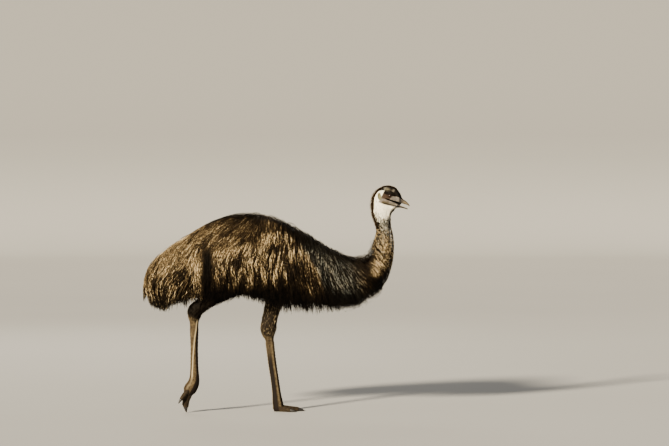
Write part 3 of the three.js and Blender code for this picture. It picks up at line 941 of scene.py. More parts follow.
@dataclass(frozen=True)
class HornFinish:
    """Horn of bill or claws, dark with paler parts from wear and, on the lower bill's top edge,
    partly painted highlight.
    """

    name: str
    dark: Colour
    pale: Colour
    base: Colour
    roughness: float
    # near black in the nostril: painted shade
    hollow_shade: Colour = (0.006, 0.004, 0.003)
    specular: float = 0.22

    def material(self) -> Finish:
        """Finish with pale parts where the piece's marks say so.

        Returns:
            The material.
        """
        painter = Painter(self.name)
        streak = painter.noise(240.0, 4.0, (0.3, 1, 1))
        wear_and_highlight = painter.attribute("wear_and_highlight")
        share = painter.math("MULTIPLY", wear_and_highlight, painter.math("ADD", streak, 0.55))
        pale = painter.blend(painter.attribute("lilac"), self.pale, self.base)
        colour = painter.blend(share, self.dark, pale)
        colour = painter.blend(painter.attribute("hollow_shade"), colour, self.hollow_shade)
        relief = painter.bump(streak, 0.2, 0.0006)
        return painter.finish(colour, self.roughness, relief, self.specular)


BEAK_HORN = HornFinish(
    "beak_horn",
    dark=(0.01, 0.007, 0.004),
    pale=(0.15, 0.115, 0.068),
    base=(0.18, 0.148, 0.115),
    roughness=0.42,
)
CLAW_HORN = HornFinish(
    "claw_horn",
    dark=(0.02, 0.018, 0.016),
    pale=(0.12, 0.1, 0.08),
    base=(0.12, 0.1, 0.08),
    roughness=0.3,
)


@dataclass(frozen=True)
class EyeFinish:
    """Wet eye: dark pupil in a red-brown iris, under a clear glossy surface."""

    pupil: Colour = (0.003, 0.002, 0.002)
    iris: Colour = (0.05, 0.015, 0.006)
    rim: Colour = (0.012, 0.006, 0.004)
    white: Colour = (0.03, 0.02, 0.016)
    ends: tuple[float, ...] = (0.36, 0.42, 0.64, 0.74)
    clear: float = 0.08
    clear_roughness: float = 0.1
    roughness: float = 0.3
    specular: float = 0.12

    def material(self) -> Finish:
        """Finish by the mark ring, the angle from the middle of the pupil.

        Returns:
            The material.
        """
        painter = Painter("eye")
        colours = (self.pupil, self.pupil, self.iris, self.rim, self.white)
        stops = tuple(zip((0.0, *self.ends), colours))
        colour = painter.ramp(painter.attribute("ring"), stops)
        painter.shader.inputs["Coat Weight"].default_value = self.clear
        painter.shader.inputs["Coat Roughness"].default_value = self.clear_roughness
        return painter.finish(colour, self.roughness, specular=self.specular)


@dataclass(frozen=True)
class Markings:
    """Where the plumage is dark, tan or silvery, alike on skin and coat."""

    flank_top: Rows = (
        (-354, 888), (-325, 982), (-254, 1000), (-177, 1041), (-106, 1110), (0, 1190),
    )
    shoulder_edge: Rows = (
        (62, 1148), (112, 1070), (170, 1015), (240, 929), (295, 841), (330, 723), (340, 560),
    )
    shade_wedges: Rows = ((-239, 930, 13), (-148, 880, 22), (-72, 900, 24), (8, 880, 24), (85, 900, 30))
    wedge_slant: float = 0.06
    flank_rim: Fade = Fade(-30, 30)
    flank_rear: Fade = Fade(-340, -318)
    shoulder_front: Fade = Fade(-16, 10)
    shoulder_rim: Bump = Bump(12, 15)
    gold_above_shade: Fade = Fade(708, 795)
    gold_top: Fade = Fade(1005, 1095)
    shoulder_ahead: Fade = Fade(90, 150)
    shoulder_low: Fade = Fade(870, 960)
    belly_ahead: Fade = Fade(-60, 0)
    low: Fade = Fade(860, 920)
    rump_front: Fade = Fade(-385, -345)
    rump_lift: Fade = Fade(0.05, 0.75)
    rump_low: Fade = Fade(640, 780)
    rump_pale: tuple[Bump, Bump] = (Bump(-620, 60), Bump(860, 70))
    rump_dark: Bump = Bump(-505, 50)
    rump_light: tuple[Bump, Bump] = (Bump(-415, 32), Bump(865, 45))
    tail_flank_shadow: Bump = Bump(-360, 33)
    neck_from: Fade = Fade(11.6, 13.0)
    neck_middle: Bump = Bump(0.0, 0.46)

    def inside_shoulder(self, places: Array) -> Array:
        """How far behind the front edge of the golden shoulder places lie."""
        fore_x, fore_z = zip(*self.shoulder_edge[::-1])
        return np.interp(places[..., 2], fore_z, fore_x) - places[..., 0]

    def flank(self, places: Array) -> Array:
        """Find the golden streaks of flank and shoulder.

        Args:
            places: Places of the body.

        Returns:
            1 among the streaks, 0 elsewhere.
        """
        x, z = places[..., 0], places[..., 2]
        rear_x, rear_z = zip(*self.flank_top)
        below = self.flank_rim(np.interp(x, rear_x, rear_z) - z)
        return below * self.shoulder_front(self.inside_shoulder(places)) * self.flank_rear(x)

    def shaded_gaps(self, places: Array) -> Array:
        """Find the wedge-shaped painted shade that opens downwards between the locks of the flank.

        Args:
            places: Places of the body.

        Returns:
            1 in a wedge, 0 elsewhere.
        """
        x, z = places[..., 0], places[..., 2]
        found = np.zeros_like(x)
        for centre, top, width in self.shade_wedges:
            half = width * fall(z, 700, top) + 0.1
            slanted = x - self.wedge_slant * (z - 800)
            here = bell(slanted, centre, half) * fall(z, top - 60, top)
            found = np.maximum(found, here)
        return found * mix(0.75, 1.0, fall(z, 720, 960))

    def gold(self, places: Array) -> Array:
        """Tone of the golden flank and shoulder.

        Args:
            places: Places of the body.

        Returns:
            The tone from 0 to 1.
        """
        x, z = places[..., 0], places[..., 2]
        rim = self.shoulder_rim(self.inside_shoulder(places))
        # the gold fades out low on the flank, where the body turns under: painted shade
        gold = 0.96 * self.flank(places) * self.gold_above_shade(z)
        # darker towards the top of the back: partly the darker back, partly painted shade
        gold = gold * (1 - 0.72 * self.gold_top(z - 0.25 * x))
        gold = gold * (1 - 0.7 * self.shoulder_ahead(x) * (1 - rim) * self.shoulder_low.off(z))
        # a little darker low at the front of the flank: painted shade
        gold = gold * (1 - 0.25 * self.belly_ahead(x) * self.low.off(z))
        # painted shade between the locks of the flank darkens the gold
        return gold * (1 - 0.95 * self.shaded_gaps(places))

    def rump(self, x: Array, z: Array, lift: Array) -> Array:
        """Tone of the grey-brown rump.

        Args:
            x: How far ahead.
            z: Height.
            lift: 1 on the back, -1 on the belly.

        Returns:
            The tone from 0 to 1.
        """
        rump = self.rump_front.off(x) * mix(0.84, 0.62, self.rump_lift(lift))
        (pale_x, pale_z), (light_x, light_z) = self.rump_pale, self.rump_light
        rump = rump * mix(0.5, 1.0, self.rump_low(z)) * (1 + 0.3 * pale_x(x) * pale_z(z))
        rump = rump * (1 - 0.3 * self.rump_dark(x) * self.low.off(z))
        return rump + 0.6 * light_x(x) * light_z(z)

    def tone(self, places: Array, lift: Array, station: Array) -> Array:
        """How pale the feathers are.

        Args:
            places: Places of the body.
            lift: 1 on the back, -1 on the belly.
            station: Their stations.

        Returns:
            The tone, 0 for dark, 1 for gold and above it for the palest tips.
        """
        x, z = places[..., 0], places[..., 2]
        back = 0.5 * fall(x, 20, 150) * fall(lift, 0.88, 1.0) * smooth(z, 930, 1000)
        back = back * mix(1.1, 0.72, smooth(x, -260, -60))
        breast = 0.5 * smooth(x, 60, 330) * smooth(z, 640, 770)
        breast = breast * (1 - 0.8 * smooth(lift, 0.45, 0.8))
        sides = np.maximum(self.gold(places), self.rump(x, z, lift))
        tone = np.maximum(sides, np.maximum(back, breast))
        # painted shadow in the dark gap between the tail's plumage and the flank's
        tone = tone * (1 - 0.95 * self.tail_flank_shadow(x) * fall(z, 920, 1010))
        neck_tone = (0.06 + 2.2 * self.neck_middle(lift)) * smooth(z, 740, 1000)
        neck_tone = neck_tone * mix(smooth(x, 562, 612), 1.0, smooth(z, 870, 925))
        return np.clip(mix(tone, neck_tone, self.neck_from(station)), 0.0, 2.2)

    def silver(self, places: Array, station: Array) -> Array:
        """How cool the feathers are: partly their own silvery grey, partly painted sky-lit shade on
        the breast and the lowest feathers.

        Args:
            places: Places of the body.
            station: Their stations.

        Returns:
            The mark from 0 to 1.
        """
        x, z = places[..., 0], places[..., 2]
        breast = smooth(x, 90, 260) * (1 - self.flank(places)) * fall(station, 11.2, 12.8)
        # the lowest feathers turn cool: painted shade lit by the sky
        low = 0.3 * fall(z, 640, 720)
        return np.clip(0.85 * breast + low, 0.0, 1.0)

    def on(self, places: Array, angle: Array, station: Array) -> Marks:
        """Both marks of the plumage.

        Args:
            places: Places of the body.
            angle: Their angles round it.
            station: Their stations.

        Returns:
            The marks tone and silver.
        """
        return {
            "tone": self.tone(places, np.cos(angle), station),
            "silver": self.silver(places, station),
        }


@dataclass(frozen=True)
class HeadRelief:
    """Lids, brow, ear, lore and gape, laid over the plain loft of the head.

    Sizes are measures of the face: along the bill and up from the pupil.
    """

    lid_depth: float = 12.2
    lid_radii: tuple[float, float] = (18.6, 17.0)
    opening: tuple[float, float] = (10.6, 8.2)
    ear: tuple[float, float, float, float] = (-56.0, -23.0, 11.0, 19.5)
    gape_corner: tuple[float, float] = (-19.0, -24.0)
    gape_length: float = 80.0
    gape_half: float = 6.6
    bill_half: float = 5.0
    socket_half: float = 24.0
    cream: tuple[float, float, float, float] = (675.0, 1262.0, 50.0, 624.0)
    lid_folds: Bump = Bump(1.75, 0.45)
    before_eye: tuple[Bump, Bump] = (Bump(28, 12), Bump(0, 9))
    cheek_bone: tuple[Bump, Bump] = (Bump(6, 26), Bump(-20, 6))
    ear_fold: Bump = Bump(1.2, 0.22)
    face_from: Fade = Fade(-45, -37)
    upper_patch: tuple[Bump, Bump] = (Bump(-25, 19), Bump(31, 13))
    brow_patch: tuple[Bump, Bump] = (Bump(12, 11), Bump(35, 12))
    brow_shadow: tuple[Bump, Bump] = (Bump(-13, 19), Bump(8, 7))

    @staticmethod
    def _over(first: Array, second: Array, blend: float = 4.0) -> Array:
        """Take the greater of two heights, with a soft join."""
        share = np.clip(0.5 + 0.5 * (first - second) / blend, 0, 1)
        return mix(second, first, share) + blend * share * (1 - share) * 0.5

    @staticmethod
    def _dome(along: Array, up: Array) -> Array:
        """Height of a round dome from its two shares of the radius."""
        return np.sqrt(np.maximum(1 - along**2 - up**2, 0))

    def eye_ring(self, along: Array, up: Array) -> Array:
        """Distance from the pupil in lengths of the lids' opening."""
        return np.hypot(along / self.opening[0], (up + 0.02 * along**2 * 0.1) / self.opening[1])

    def ear_ring(self, along: Array, up: Array) -> Array:
        """Distance from the middle of the ear in lengths of its radii."""
        lean = along - self.ear[0] + 0.3 * (up - self.ear[1])
        return np.hypot(lean / self.ear[2], (up - self.ear[1]) / self.ear[3])

    def gape(self, along: Array, up: Array) -> Array:
        """Find the open corner of the bill.

        Args:
            along: How far ahead along the bill.
            up: How far up the face.

        Returns:
            1 inside, 0 outside.
        """
        share = (along - self.gape_corner[0]) / self.gape_length
        middle = self.gape_corner[1] - 3.2 * share
        half = self.gape_half * np.clip(share, 0, 2) ** 0.7
        inside = fall(np.abs(up - middle) - half, -1.6, 1.6)
        return inside * smooth(share, -0.01, 0.03)

    def apply(self, places: Array) -> tuple[Array, Marks]:
        """Move places of the head to the relief and mark its colours.

        Args:
            places: Places of the plain head.

        Returns:
            The moved places and their marks.
        """
        along, up = FACE.read(places)
        across, side = np.abs(places[..., 1]), np.sign(places[..., 1])
        on_side = smooth(across, 12, 22)
        ball = self._dome(along / self.lid_radii[0], up / self.lid_radii[1])
        wide = self._over(across, 31.0 + self.lid_depth * ball)
        wide = self._over(wide, 30.0 + 9.5 * self._dome((along - 2) / 24, (up - 17) / 7))
        ring, ear_ring = self.eye_ring(along, up), self.ear_ring(along, up)
        wide = wide + 0.9 * np.cos((ring - 1.45) * 9.0) * self.lid_folds(ring)
        wide = wide - 3.0 * self.before_eye[0](along) * self.before_eye[1](up)
        wide = wide + 2.0 * self.cheek_bone[0](along) * self.cheek_bone[1](up)
        wide = wide - 3.5 * fall(ear_ring, 0.3, 1.05) + 1.4 * self.ear_fold(ear_ring)
        jaw_groove = bell(up + 47 - 0.083 * (along + 17), 0, 2.0)
        wide = wide - 1.2 * jaw_groove * smooth(along, -26, -6)
        wide = mix(wide, self.socket_half, fall(ring, 0.92, 1.12))
        gape = self.gape(along, up)
        lips = bell(up + 24.0 + 0.04 * (along + 19), 0, 7) * smooth(along, -18, 0)
        wide = mix(wide + 1.0 * lips, self.bill_half, gape)
        across = mix(across, wide, on_side)
        across = mix(across, np.minimum(across, self.bill_half), gape)
        moved = places.copy()
        moved[..., 1] = side * across
        return moved, self.marks(places, on_side, ring, ear_ring, gape)

    def crown(self, places: Array) -> Array:
        """Find the dark bristly crown, brow and nape.

        Args:
            places: Places of the head.

        Returns:
            1 on them, 0 on the face and the cream band.
        """
        along, up = FACE.read(places)
        x, z = places[..., 0], places[..., 2]
        centre_x, centre_z, radius, rear = self.cream
        high = radius - np.hypot(x - centre_x, z - centre_z)
        inside = mix(x - rear, high, smooth(z, 1240, 1266))
        inside = np.minimum(inside, np.where(z > centre_z, high, 1e3))
        nape = fall(inside, -2.0, 4.0)
        level = mix(3.0, 7.0, smooth(along, 15, 48)) - 14 * smooth(along, 54, 78)
        brow = smooth(up - level, -2.5, 2.5)
        return np.clip(mix(nape, brow, self.face_from(along - 0.2 * up)), 0, 1)

    def marks(
        self, places: Array, on_side: Array, ring: Array, ear_ring: Array, gape: Array
    ) -> Marks:
        """Colour the head by place.

        Args:
            places: Places of the head.
            on_side: 1 on its sides, 0 on crown and throat.
            ring: Distances from the pupil.
            ear_ring: Distances from the ear.
            gape: 1 in the corner of the bill.

        Returns:
            The marks of the stains, with painted shadow over the brow and round the eye in the
            crown mark, and the painted shade of the open gape.
        """
        along, up = FACE.read(places)
        fore = self.face_from(along - 0.2 * up)
        crown = self.crown(places)
        patch = 0.95 * self.upper_patch[0](along) * self.upper_patch[1](up)
        patch = patch + 0.6 * self.brow_patch[0](along) * self.brow_patch[1](up)
        held = np.clip(patch, 0, 1)
        jaw = up + 53 - 0.1 * (along + 17)
        face = fore * smooth(up, -60, -54)
        lore = smooth(along, 4, 16) * smooth(up, -30, -20) * fall(up, 2, 8)
        cheek = face * fall(along, 2, 14)
        band = bell(jaw - 4, 0, 9) * smooth(along, -38, -26) * fall(along, 40, 60)
        lines = bell(jaw, 0, 3.4) * smooth(along, -34, -20)
        mouth_line = bell(up + 37 - 0.04 * along, 0, 2.0)
        lines = np.maximum(lines, 0.6 * mouth_line * smooth(along, -16, 2))
        eye = bell(ring, 1.0, 0.85) * on_side
        # painted shadow of the brow above and behind the eye, and a painted shade ring round the
        # eye
        shade = 1.2 * self.brow_shadow[0](along) * self.brow_shadow[1](up)
        shade = np.maximum(shade, bell(ring, 0.95, 0.42))
        on_jaw = smooth(np.abs(places[..., 1]), 3, 8)
        dark = np.maximum(0.9 * lines * on_jaw, shade * on_side)
        dark = np.maximum(crown * (1 - 0.9 * held), dark)
        dark = np.maximum(dark, 0.42 * lore * fore)
        brown = 0.85 * cheek * (1 - 0.5 * crown) * mix(0.45, 1.0, smooth(up, -36, -20))
        brown = np.clip(brown + 0.5 * band * on_jaw + 0.9 * eye, 0, 1)
        ear = 0.85 * fall(ear_ring, 0.85, 1.25) + 0.6 * patch * crown
        return {
            "crown": np.clip(dark, 0, 1),
            "lilac": np.clip(face * (0.8 + 0.1 * lore + 0.3 * band) + held * crown, 0, 1),
            "brown": brown * (1 - 0.8 * lore),
            "ear": np.clip(ear + 0.35 * band * on_jaw, 0, 1),
            # the open gape painted black as shade
            "hollow_shade": gape,
        }


@dataclass(frozen=True)
class ScuteRelief:
    """Overlapping scutes down the front and back of a limb."""

    start: float
    end: float
    count: int
    height: float

    def __call__(self, share: Array, angle: Array) -> Array:
        """How far the scutes stand out.

        Args:
            share: Shares of the limb's length.
            angle: Angles round it.

        Returns:
            The height at each place.
        """
        run = (share - self.start) / (self.end - self.start) * self.count
        inside = smooth(run, 0, 0.4) * fall(run, self.count - 0.4, self.count)
        phase = run - np.floor(run)
        front = np.abs(np.cos(angle)) ** 2
        return self.height * inside * front * (0.15 + 0.85 * phase ** 1.5)


SHANK_SCUTES = {
    Side.LEFT: ScuteRelief(0.52, 0.96, 30, 4.8),
    Side.RIGHT: ScuteRelief(0.54, 0.96, 28, 2.4),
}
LEG_LINKS = {
    Side.RIGHT: (
        (-150, -100, 812, 92, 62),
        (-215, -98, 766, 78, 56),
        (-275, -94, 722, 60, 48),
        (-340, -88, 675, 46, 40),
        (-392, -82, 638, 42, 36),
        (-426, -76, 604, 45, 34),
        (-434, -71, 566, 36, 29),
        (-434, -68, 536, 27, 22),
        (-434, -64, 470, 24, 18),
        (-434, -59, 370, 21, 16),
        (-434, -54, 270, 23, 17),
        (-434, -51, 208, 28, 21),
        (-441, -49, 172, 34, 26),
        (-460, -48, 138, 37, 29),
        (-474, -47, 108, 25, 25),
    ),
    Side.LEFT: (
        (104, 100, 876, 92, 62),
        (78, 99, 790, 80, 58),
        (52, 96, 705, 64, 50),
        (30, 91, 632, 50, 43),
        (11, 85, 560, 45, 38),
        (0, 79, 500, 47, 36),
        (-1, 75, 462, 40, 31),
        (6, 71, 424, 26, 22),
        (12, 66, 370, 23, 18),
        (24, 57, 277, 22.5, 16.5),
        (38, 47, 187, 22.5, 17),
        (48, 40, 112, 24, 20),
        (54, 36, 62, 29, 25),
        (60, 34, 26, 31, 28),
        (63, 34, 5, 30, 28),
    ),
}
ANKLE_LINK = 7
PLUMED_TO = {Side.LEFT: 6.6, Side.RIGHT: 6.1}
TOES = {
    Side.LEFT: {
        "inner": (
            ((66, 22, 17, 20, 17), (106, 2, 13, 15, 14), (134, -12, 11, 13, 12)),
            (162, -26, 3),
        ),
        "middle": (
            ((74, 36, 18, 22, 19), (130, 40, 14, 17, 17), (178, 43, 11, 14, 14)),
            (214, 45, 3),
        ),
        "outer": (
            ((66, 50, 17, 20, 17), (104, 70, 13, 15, 14), (130, 84, 11, 13, 12)),
            (156, 98, 3),
        ),
    },
    Side.RIGHT: {
        "inner": (
            ((-456, -40, 138, 16, 15), (-480, -27, 100, 13, 13), (-497, -17, 68, 11, 11)),
            (-508, -9, 40),
        ),
        "middle": (
            ((-466, -47, 122, 26, 21), (-482, -46, 76, 20.5, 18), (-486, -45, 34, 16, 14.5)),
            (-482, -43, 1),
        ),
        "outer": (
            ((-458, -58, 142, 18, 16), (-490, -73, 110, 13, 13), (-511, -82, 82, 10.5, 10.5)),
            (-527, -89, 56),
        ),
    },
}


@dataclass(frozen=True)
class EyeSize:
    """Radius of an eyeball, and how far it lies to the side."""

    radius: float = 14.5
    across: float = 27.5


EYE_SIZE = EyeSize()


@dataclass
class Skin:
    """One skin over body, neck, head, legs and toes.

    Each of the row counts holds the first and last station of a stretch and its rows.
    """

    frame: Frame
    outline: Outline
    markings: Markings
    relief: HeadRelief = field(default_factory=HeadRelief)
    row_counts: Rows = ((0.0, 16.0, 72), (16.0, 20.0, 52), (20.0, 28.0, 230))
    columns: int = 182
    cap_rows: int = 10
    bristle_depth: tuple[float, float] = (11.0, 6.0)
    wing_swell: float = 0.05
    leg_cap: float = 0.03
    toe_cap: float = 0.12
    toe_tip: float = 5.0
    lid_lift: float = 0.7
    mark_names: tuple[str, ...] = (
        "plumed", "tone", "silver", "scaled", "dark_scales_and_shade", "streak",
        "lilac", "brown", "crown", "ear", "hollow_shade",
    )

    def __post_init__(self) -> None:
        """Lay out the stations of the rows."""
        stretches = [np.linspace(*stretch, endpoint=False) for stretch in self.row_counts]
        self.stations = np.concatenate([*stretches, [float(self.outline.last)]])
        self.rows = len(self.stations) + 2 * self.cap_rows

    def _station(self, along: Array) -> tuple[Array, Array]:
        """Find the station of each row."""
        share, drawn = capped(along, self.cap_rows / self.rows)
        return np.interp(share, np.linspace(0, 1, len(self.stations)), self.stations), drawn

    def trunk(self, along: Array, around: Array) -> Array:
        """Formula of body, neck and head.

        Args:
            along: Shares of the rows.
            around: Shares of the way round.

        Returns:
            The places.
        """
        station, drawn = self._station(along)
        angle = around * TURN
        foot, rise = self.outline.rib(station)[:2]
        middle = foot + 0.5 * rise
        place = self.outline.point(station, angle, self.outline.core_inset(station))
        wing = bell(station, 6.6, 1.5) * bell(np.cos(angle), 0.12, 0.3)
        place[..., 1] *= 1 + self.wing_swell * wing
        bristly = bell(np.arctan2(np.sin(angle), np.cos(angle)), 0, 0.75)
        bristly = bristly * smooth(station, 16.5, 18.5) * fall(station, 24.6, 26.0)
        deep = mix(*self.bristle_depth, smooth(station, 22, 24)) * bristly
        place = place + unit(middle - place) * deep[..., None]
        place = middle + (place - middle) * drawn[..., None]
        place[..., 0] += np.where(along > 0.5, 1 - drawn, 0) * 5
        moved = self.relief.apply(place)[0]
        return np.where((station > 19.3)[..., None], moved, place)

    def trunk_marks(self, places: Array, along: Array, around: Array) -> Marks:
        """Colour body, neck and head.

        Args:
            places: The places.
            along: Shares of the rows.
            around: Shares of the way round.

        Returns:
            The marks.
        """
        station = self._station(along)[0]
        angle = around * TURN
        on_head = smooth(station, 19.2, 20.0)
        marks = {name: value * on_head for name, value in self.relief.apply(places)[1].items()}
        turned = np.abs(np.arctan2(np.sin(angle), np.cos(angle)))
        # dark edges of the neck: at the back the dark nape, at the front painted shade
        edges = np.maximum(bell(turned, 0, 0.5), 0.8 * bell(turned, math.pi, 0.26))
        nape = edges * smooth(station, 13.0, 14.5) * fall(station, 19.6, 20.6)
        chin = bell(turned, math.pi, 0.4) * smooth(station, 19, 20) * fall(station, 26, 27)
        throat = bell(turned, 0.8 * math.pi, 0.35) * smooth(station, 17.5, 19)
        throat = throat * fall(station, 22, 23)
        low_neck = fall(station, 16.4, 20.9)
        stains = (
            ("crown", 0.9 * nape),
            ("crown", 0.6 * chin),
            ("lilac", 0.45 * throat),
            ("lilac", 0.45 * low_neck),
            ("brown", 0.3 * low_neck),
        )
        for name, stain in stains:
            marks[name] = np.maximum(marks[name], stain)
        marks["plumed"] = fall(station, 14.0, 15.6)
        marks.update(self.markings.on(places, angle, station))
        marks["tone"] = marks["tone"] * 0.45
        return marks

    @staticmethod
    def _right_shank(share: Array, front: Array) -> tuple[Array, Array]:
        """Painted highlight streak and painted shade on the edges of the right shank.

        Args:
            share: Links from the hip.
            front: 1 in front, -1 behind.

        Returns:
            The painted highlight streak and the painted shade.
        """
        course = np.interp(share, (6.5, 7.6, 8.6, 9.4, 10.4), (0.7, 0.5, 0.0, -0.35, -0.5))
        fore = np.interp(share, (6.5, 7.6, 8.6, 9.4, 10.4, 12.0), (0.85, 0.68, 0.3, 0.42, 0.5, 0.2))
        streak = bell(front, course, 0.12) * (1 - 0.8 * smooth(share, 10.6, 11.4))
        behind = 0.7 * bell(front, course - 0.3, 0.1) * smooth(share, 9.0, 10.0)
        return streak, smooth(front - fore, -0.06, 0.06) + behind

    @staticmethod
    def _left_shank(share: Array, front: Array) -> tuple[Array, Array]:
        """Painted highlight lines and painted shade of the left shank, which lies in the right
        leg's shadow.

        Args:
            share: Links from the hip.
            front: 1 in front, -1 behind.

        Returns:
            The painted highlight lines and the painted shade.
        """
        streak = 0.15 * bell(front, 0.42, 0.09) + 0.6 * bell(front, -0.99, 0.07)
        behind = smooth(-front, -0.28, 0.05) * fall(-front, 0.9, 0.98)
        dark = np.maximum(smooth(front, 0.6, 0.72), behind)
        low = smooth(share, ANKLE_LINK, len(LEG_LINKS[Side.LEFT]) - 1)
        return streak, dark * mix(0.4, 1.0, smooth(low, 0.0, 0.2))

    def leg(self, side: Side) -> Shell:
        """Leg from the hip to the root of the toes.

        Args:
            side: Side of the bird.

        Returns:
            The shell.
        """
        limb = Limb(LEG_LINKS[side], SHANK_SCUTES[side])
        shank = self._left_shank if side is Side.LEFT else self._right_shank

        def marks(_: Array, along: Array, around: Array) -> Marks:
            """Colour the leg.

            Args:
                _: The places, which aren't needed.
                along: Shares of the rows.
                around: Shares of the way round.

            Returns:
                The marks.
            """
            share = capped(along, self.leg_cap)[0] * limb.last
            front = -np.cos(around * TURN)
            end = PLUMED_TO[side]
            streak, dark = shank(share, front)
            foot = smooth(share, limb.last - 1.3, limb.last - 0.3)
            return {
                "plumed": fall(share - 0.5 * front, end - 0.3, end + 0.3),
                # the right drumstick is near black with no silvery mark: painted shadow of the
                # tail; the left one's silvery mark is partly painted sky-lit shade
                "tone": 0.1 if side is Side.LEFT else 0.02,
                "silver": 0.3 if side is Side.LEFT else 0.0,
                "scaled": 1.0,
                "dark_scales_and_shade": np.clip(np.maximum(dark, 0.6 * foot), 0, 1),
                "streak": streak * (1 - foot),
            }

        corner = 0.0 if side is Side.LEFT else 0.17
        patch = (corner, 0.0, corner + 0.16, 0.62)
        return Shell(220, 40, limb.tube(self.leg_cap), marks, patch)

    def toe(self, number: int, pads: Rows) -> Shell:
        """One toe, with pads below and scutes above.

        Args:
            number: Its number among all toes.
            pads: Its links.

        Returns:
            The shell.
        """
        limb = Limb(pads, ScuteRelief(0.2, 0.98, 10, 1.3))

        def marks(*_: Array) -> Marks:
            """The same dark scales all over the toe, partly painted shade."""
            return {"scaled": 1.0, "dark_scales_and_shade": 0.72}

        patch = (0.36 + 0.1 * number, 0.0, 0.45 + 0.1 * number, 0.12)
        return Shell(60, 24, limb.tube(self.toe_cap, self.toe_tip), marks, patch)

    def lids(self, side: Side) -> Shell:
        """Thick rim of both lids around the eye, lying on the ball.

        Args:
            side: Side of the bird.

        Returns:
            The shell.
        """
        ball = EYE_SIZE.radius + self.lid_lift
        length, height = self.relief.opening[0] - 1.2, self.relief.opening[1] - 1.4

        def formula(along: Array, around: Array) -> Array:
            """Bend the grid of the rim.

            Args:
                along: Shares of the way round its section.
                around: Shares of the way round the eye.

            Returns:
                The places.
            """
            turn, section = around * TURN, along * TURN
            upper = np.sin(turn) > 0
            reach = 2.7 + np.where(upper, 1.0, 0.2) * np.abs(np.sin(turn))
            spread = 1.0 + (2.2 * np.cos(section) + reach) / 9.6
            flat_x = length * np.cos(turn) * spread
            flat_z = height * np.sin(turn) * spread * np.where(upper, 0.9, 1.0)
            far = np.minimum(np.hypot(flat_x, flat_z), ball * 0.98)
            lift = np.sqrt(ball**2 - far**2) + 1.0 * np.sin(section) + 0.5
            return FACE.point(flat_x, side.value * (EYE_SIZE.across + lift), flat_z)

        def marks(_: Array, along: Array, around: Array) -> Marks:
            """Dark skin, darker on the upper lid as painted shadow of the brow."""
            upper = smooth(np.sin(around * TURN), -0.3, 0.3)
            return {"lilac": 0.8, "brown": 0.7, "crown": 0.35 + 0.65 * upper}

        corner = 0.7 if side is Side.LEFT else 0.85
        return Shell(18, 96, formula, marks, (corner, 0.0, corner + 0.14, 0.05))

    def build(self) -> Piece:
        """Make the skin and let it stand for the nodes of flesh.

        Returns:
            The piece.
        """
        patch = (0.35, 0.14, 1.0, 1.0)
        shells = [Shell(self.rows, self.columns, self.trunk, self.trunk_marks, patch)]
        nodes = ["tail", "torso", "breast", "neck_base", "neck_lower", "neck_upper", "head"]
        for side in Side:
            shells += [self.leg(side), self.lids(side)]
            nodes += [f"{part}_{side.word}" for part in ("wing", "drumstick", "shank")]
            for number, (toe, (pads, _)) in enumerate(TOES[side].items()):
                shells.append(self.toe(number + (3 if side is Side.LEFT else 0), pads))
                nodes.append(f"toe_{toe}_{side.word}")
        piece = piece_of("skin", [shell.mesh(self.frame, self.mark_names) for shell in shells])
        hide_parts(*nodes)
        return dress(piece, SkinFinish(PlumageFinish()).material())


@dataclass
class Eye:
    """Eyeballs with pupil, iris and a bulging front."""

    frame: Frame
    size: EyeSize = EYE_SIZE
    bulge: float = 0.9
    bulge_width: float = 0.5
    finish: Finish = field(default_factory=EyeFinish().material)

    def build(self, side: Side) -> Piece:
        """Make one eye in place of its node.

        Args:
            side: Side of the bird.

        Returns:
            The piece.
        """
        bm = bmesh.new()
        bmesh.ops.create_uvsphere(bm, u_segments=48, v_segments=64, radius=self.size.radius)
        layer = bm.verts.layers.float.new("ring")
        for vert in bm.verts:
            ring = math.acos(max(-1.0, min(1.0, vert.co.z / self.size.radius)))
            vert[layer] = ring
            vert.co.z += self.bulge * math.exp(-((ring / self.bulge_width) ** 2))
        turn = Matrix.Rotation(-side.value * math.pi / 2, 4, "X")
        centre = self.frame.place(FACE.point(0.0, side.value * self.size.across, 0.0))
        place = Matrix.Translation(Vector(centre)) @ turn @ Matrix.Scale(METRES, 4)
        bmesh.ops.transform(bm, matrix=place, verts=bm.verts)
        mesh = bpy.data.meshes.new(f"eyeball_{side.word}")
        bm.to_mesh(mesh)
        bm.free()
        mesh.shade_smooth()
        piece = placed(mesh.name, mesh)
        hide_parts(f"eye_{side.word}")
        return dress(piece, self.finish)


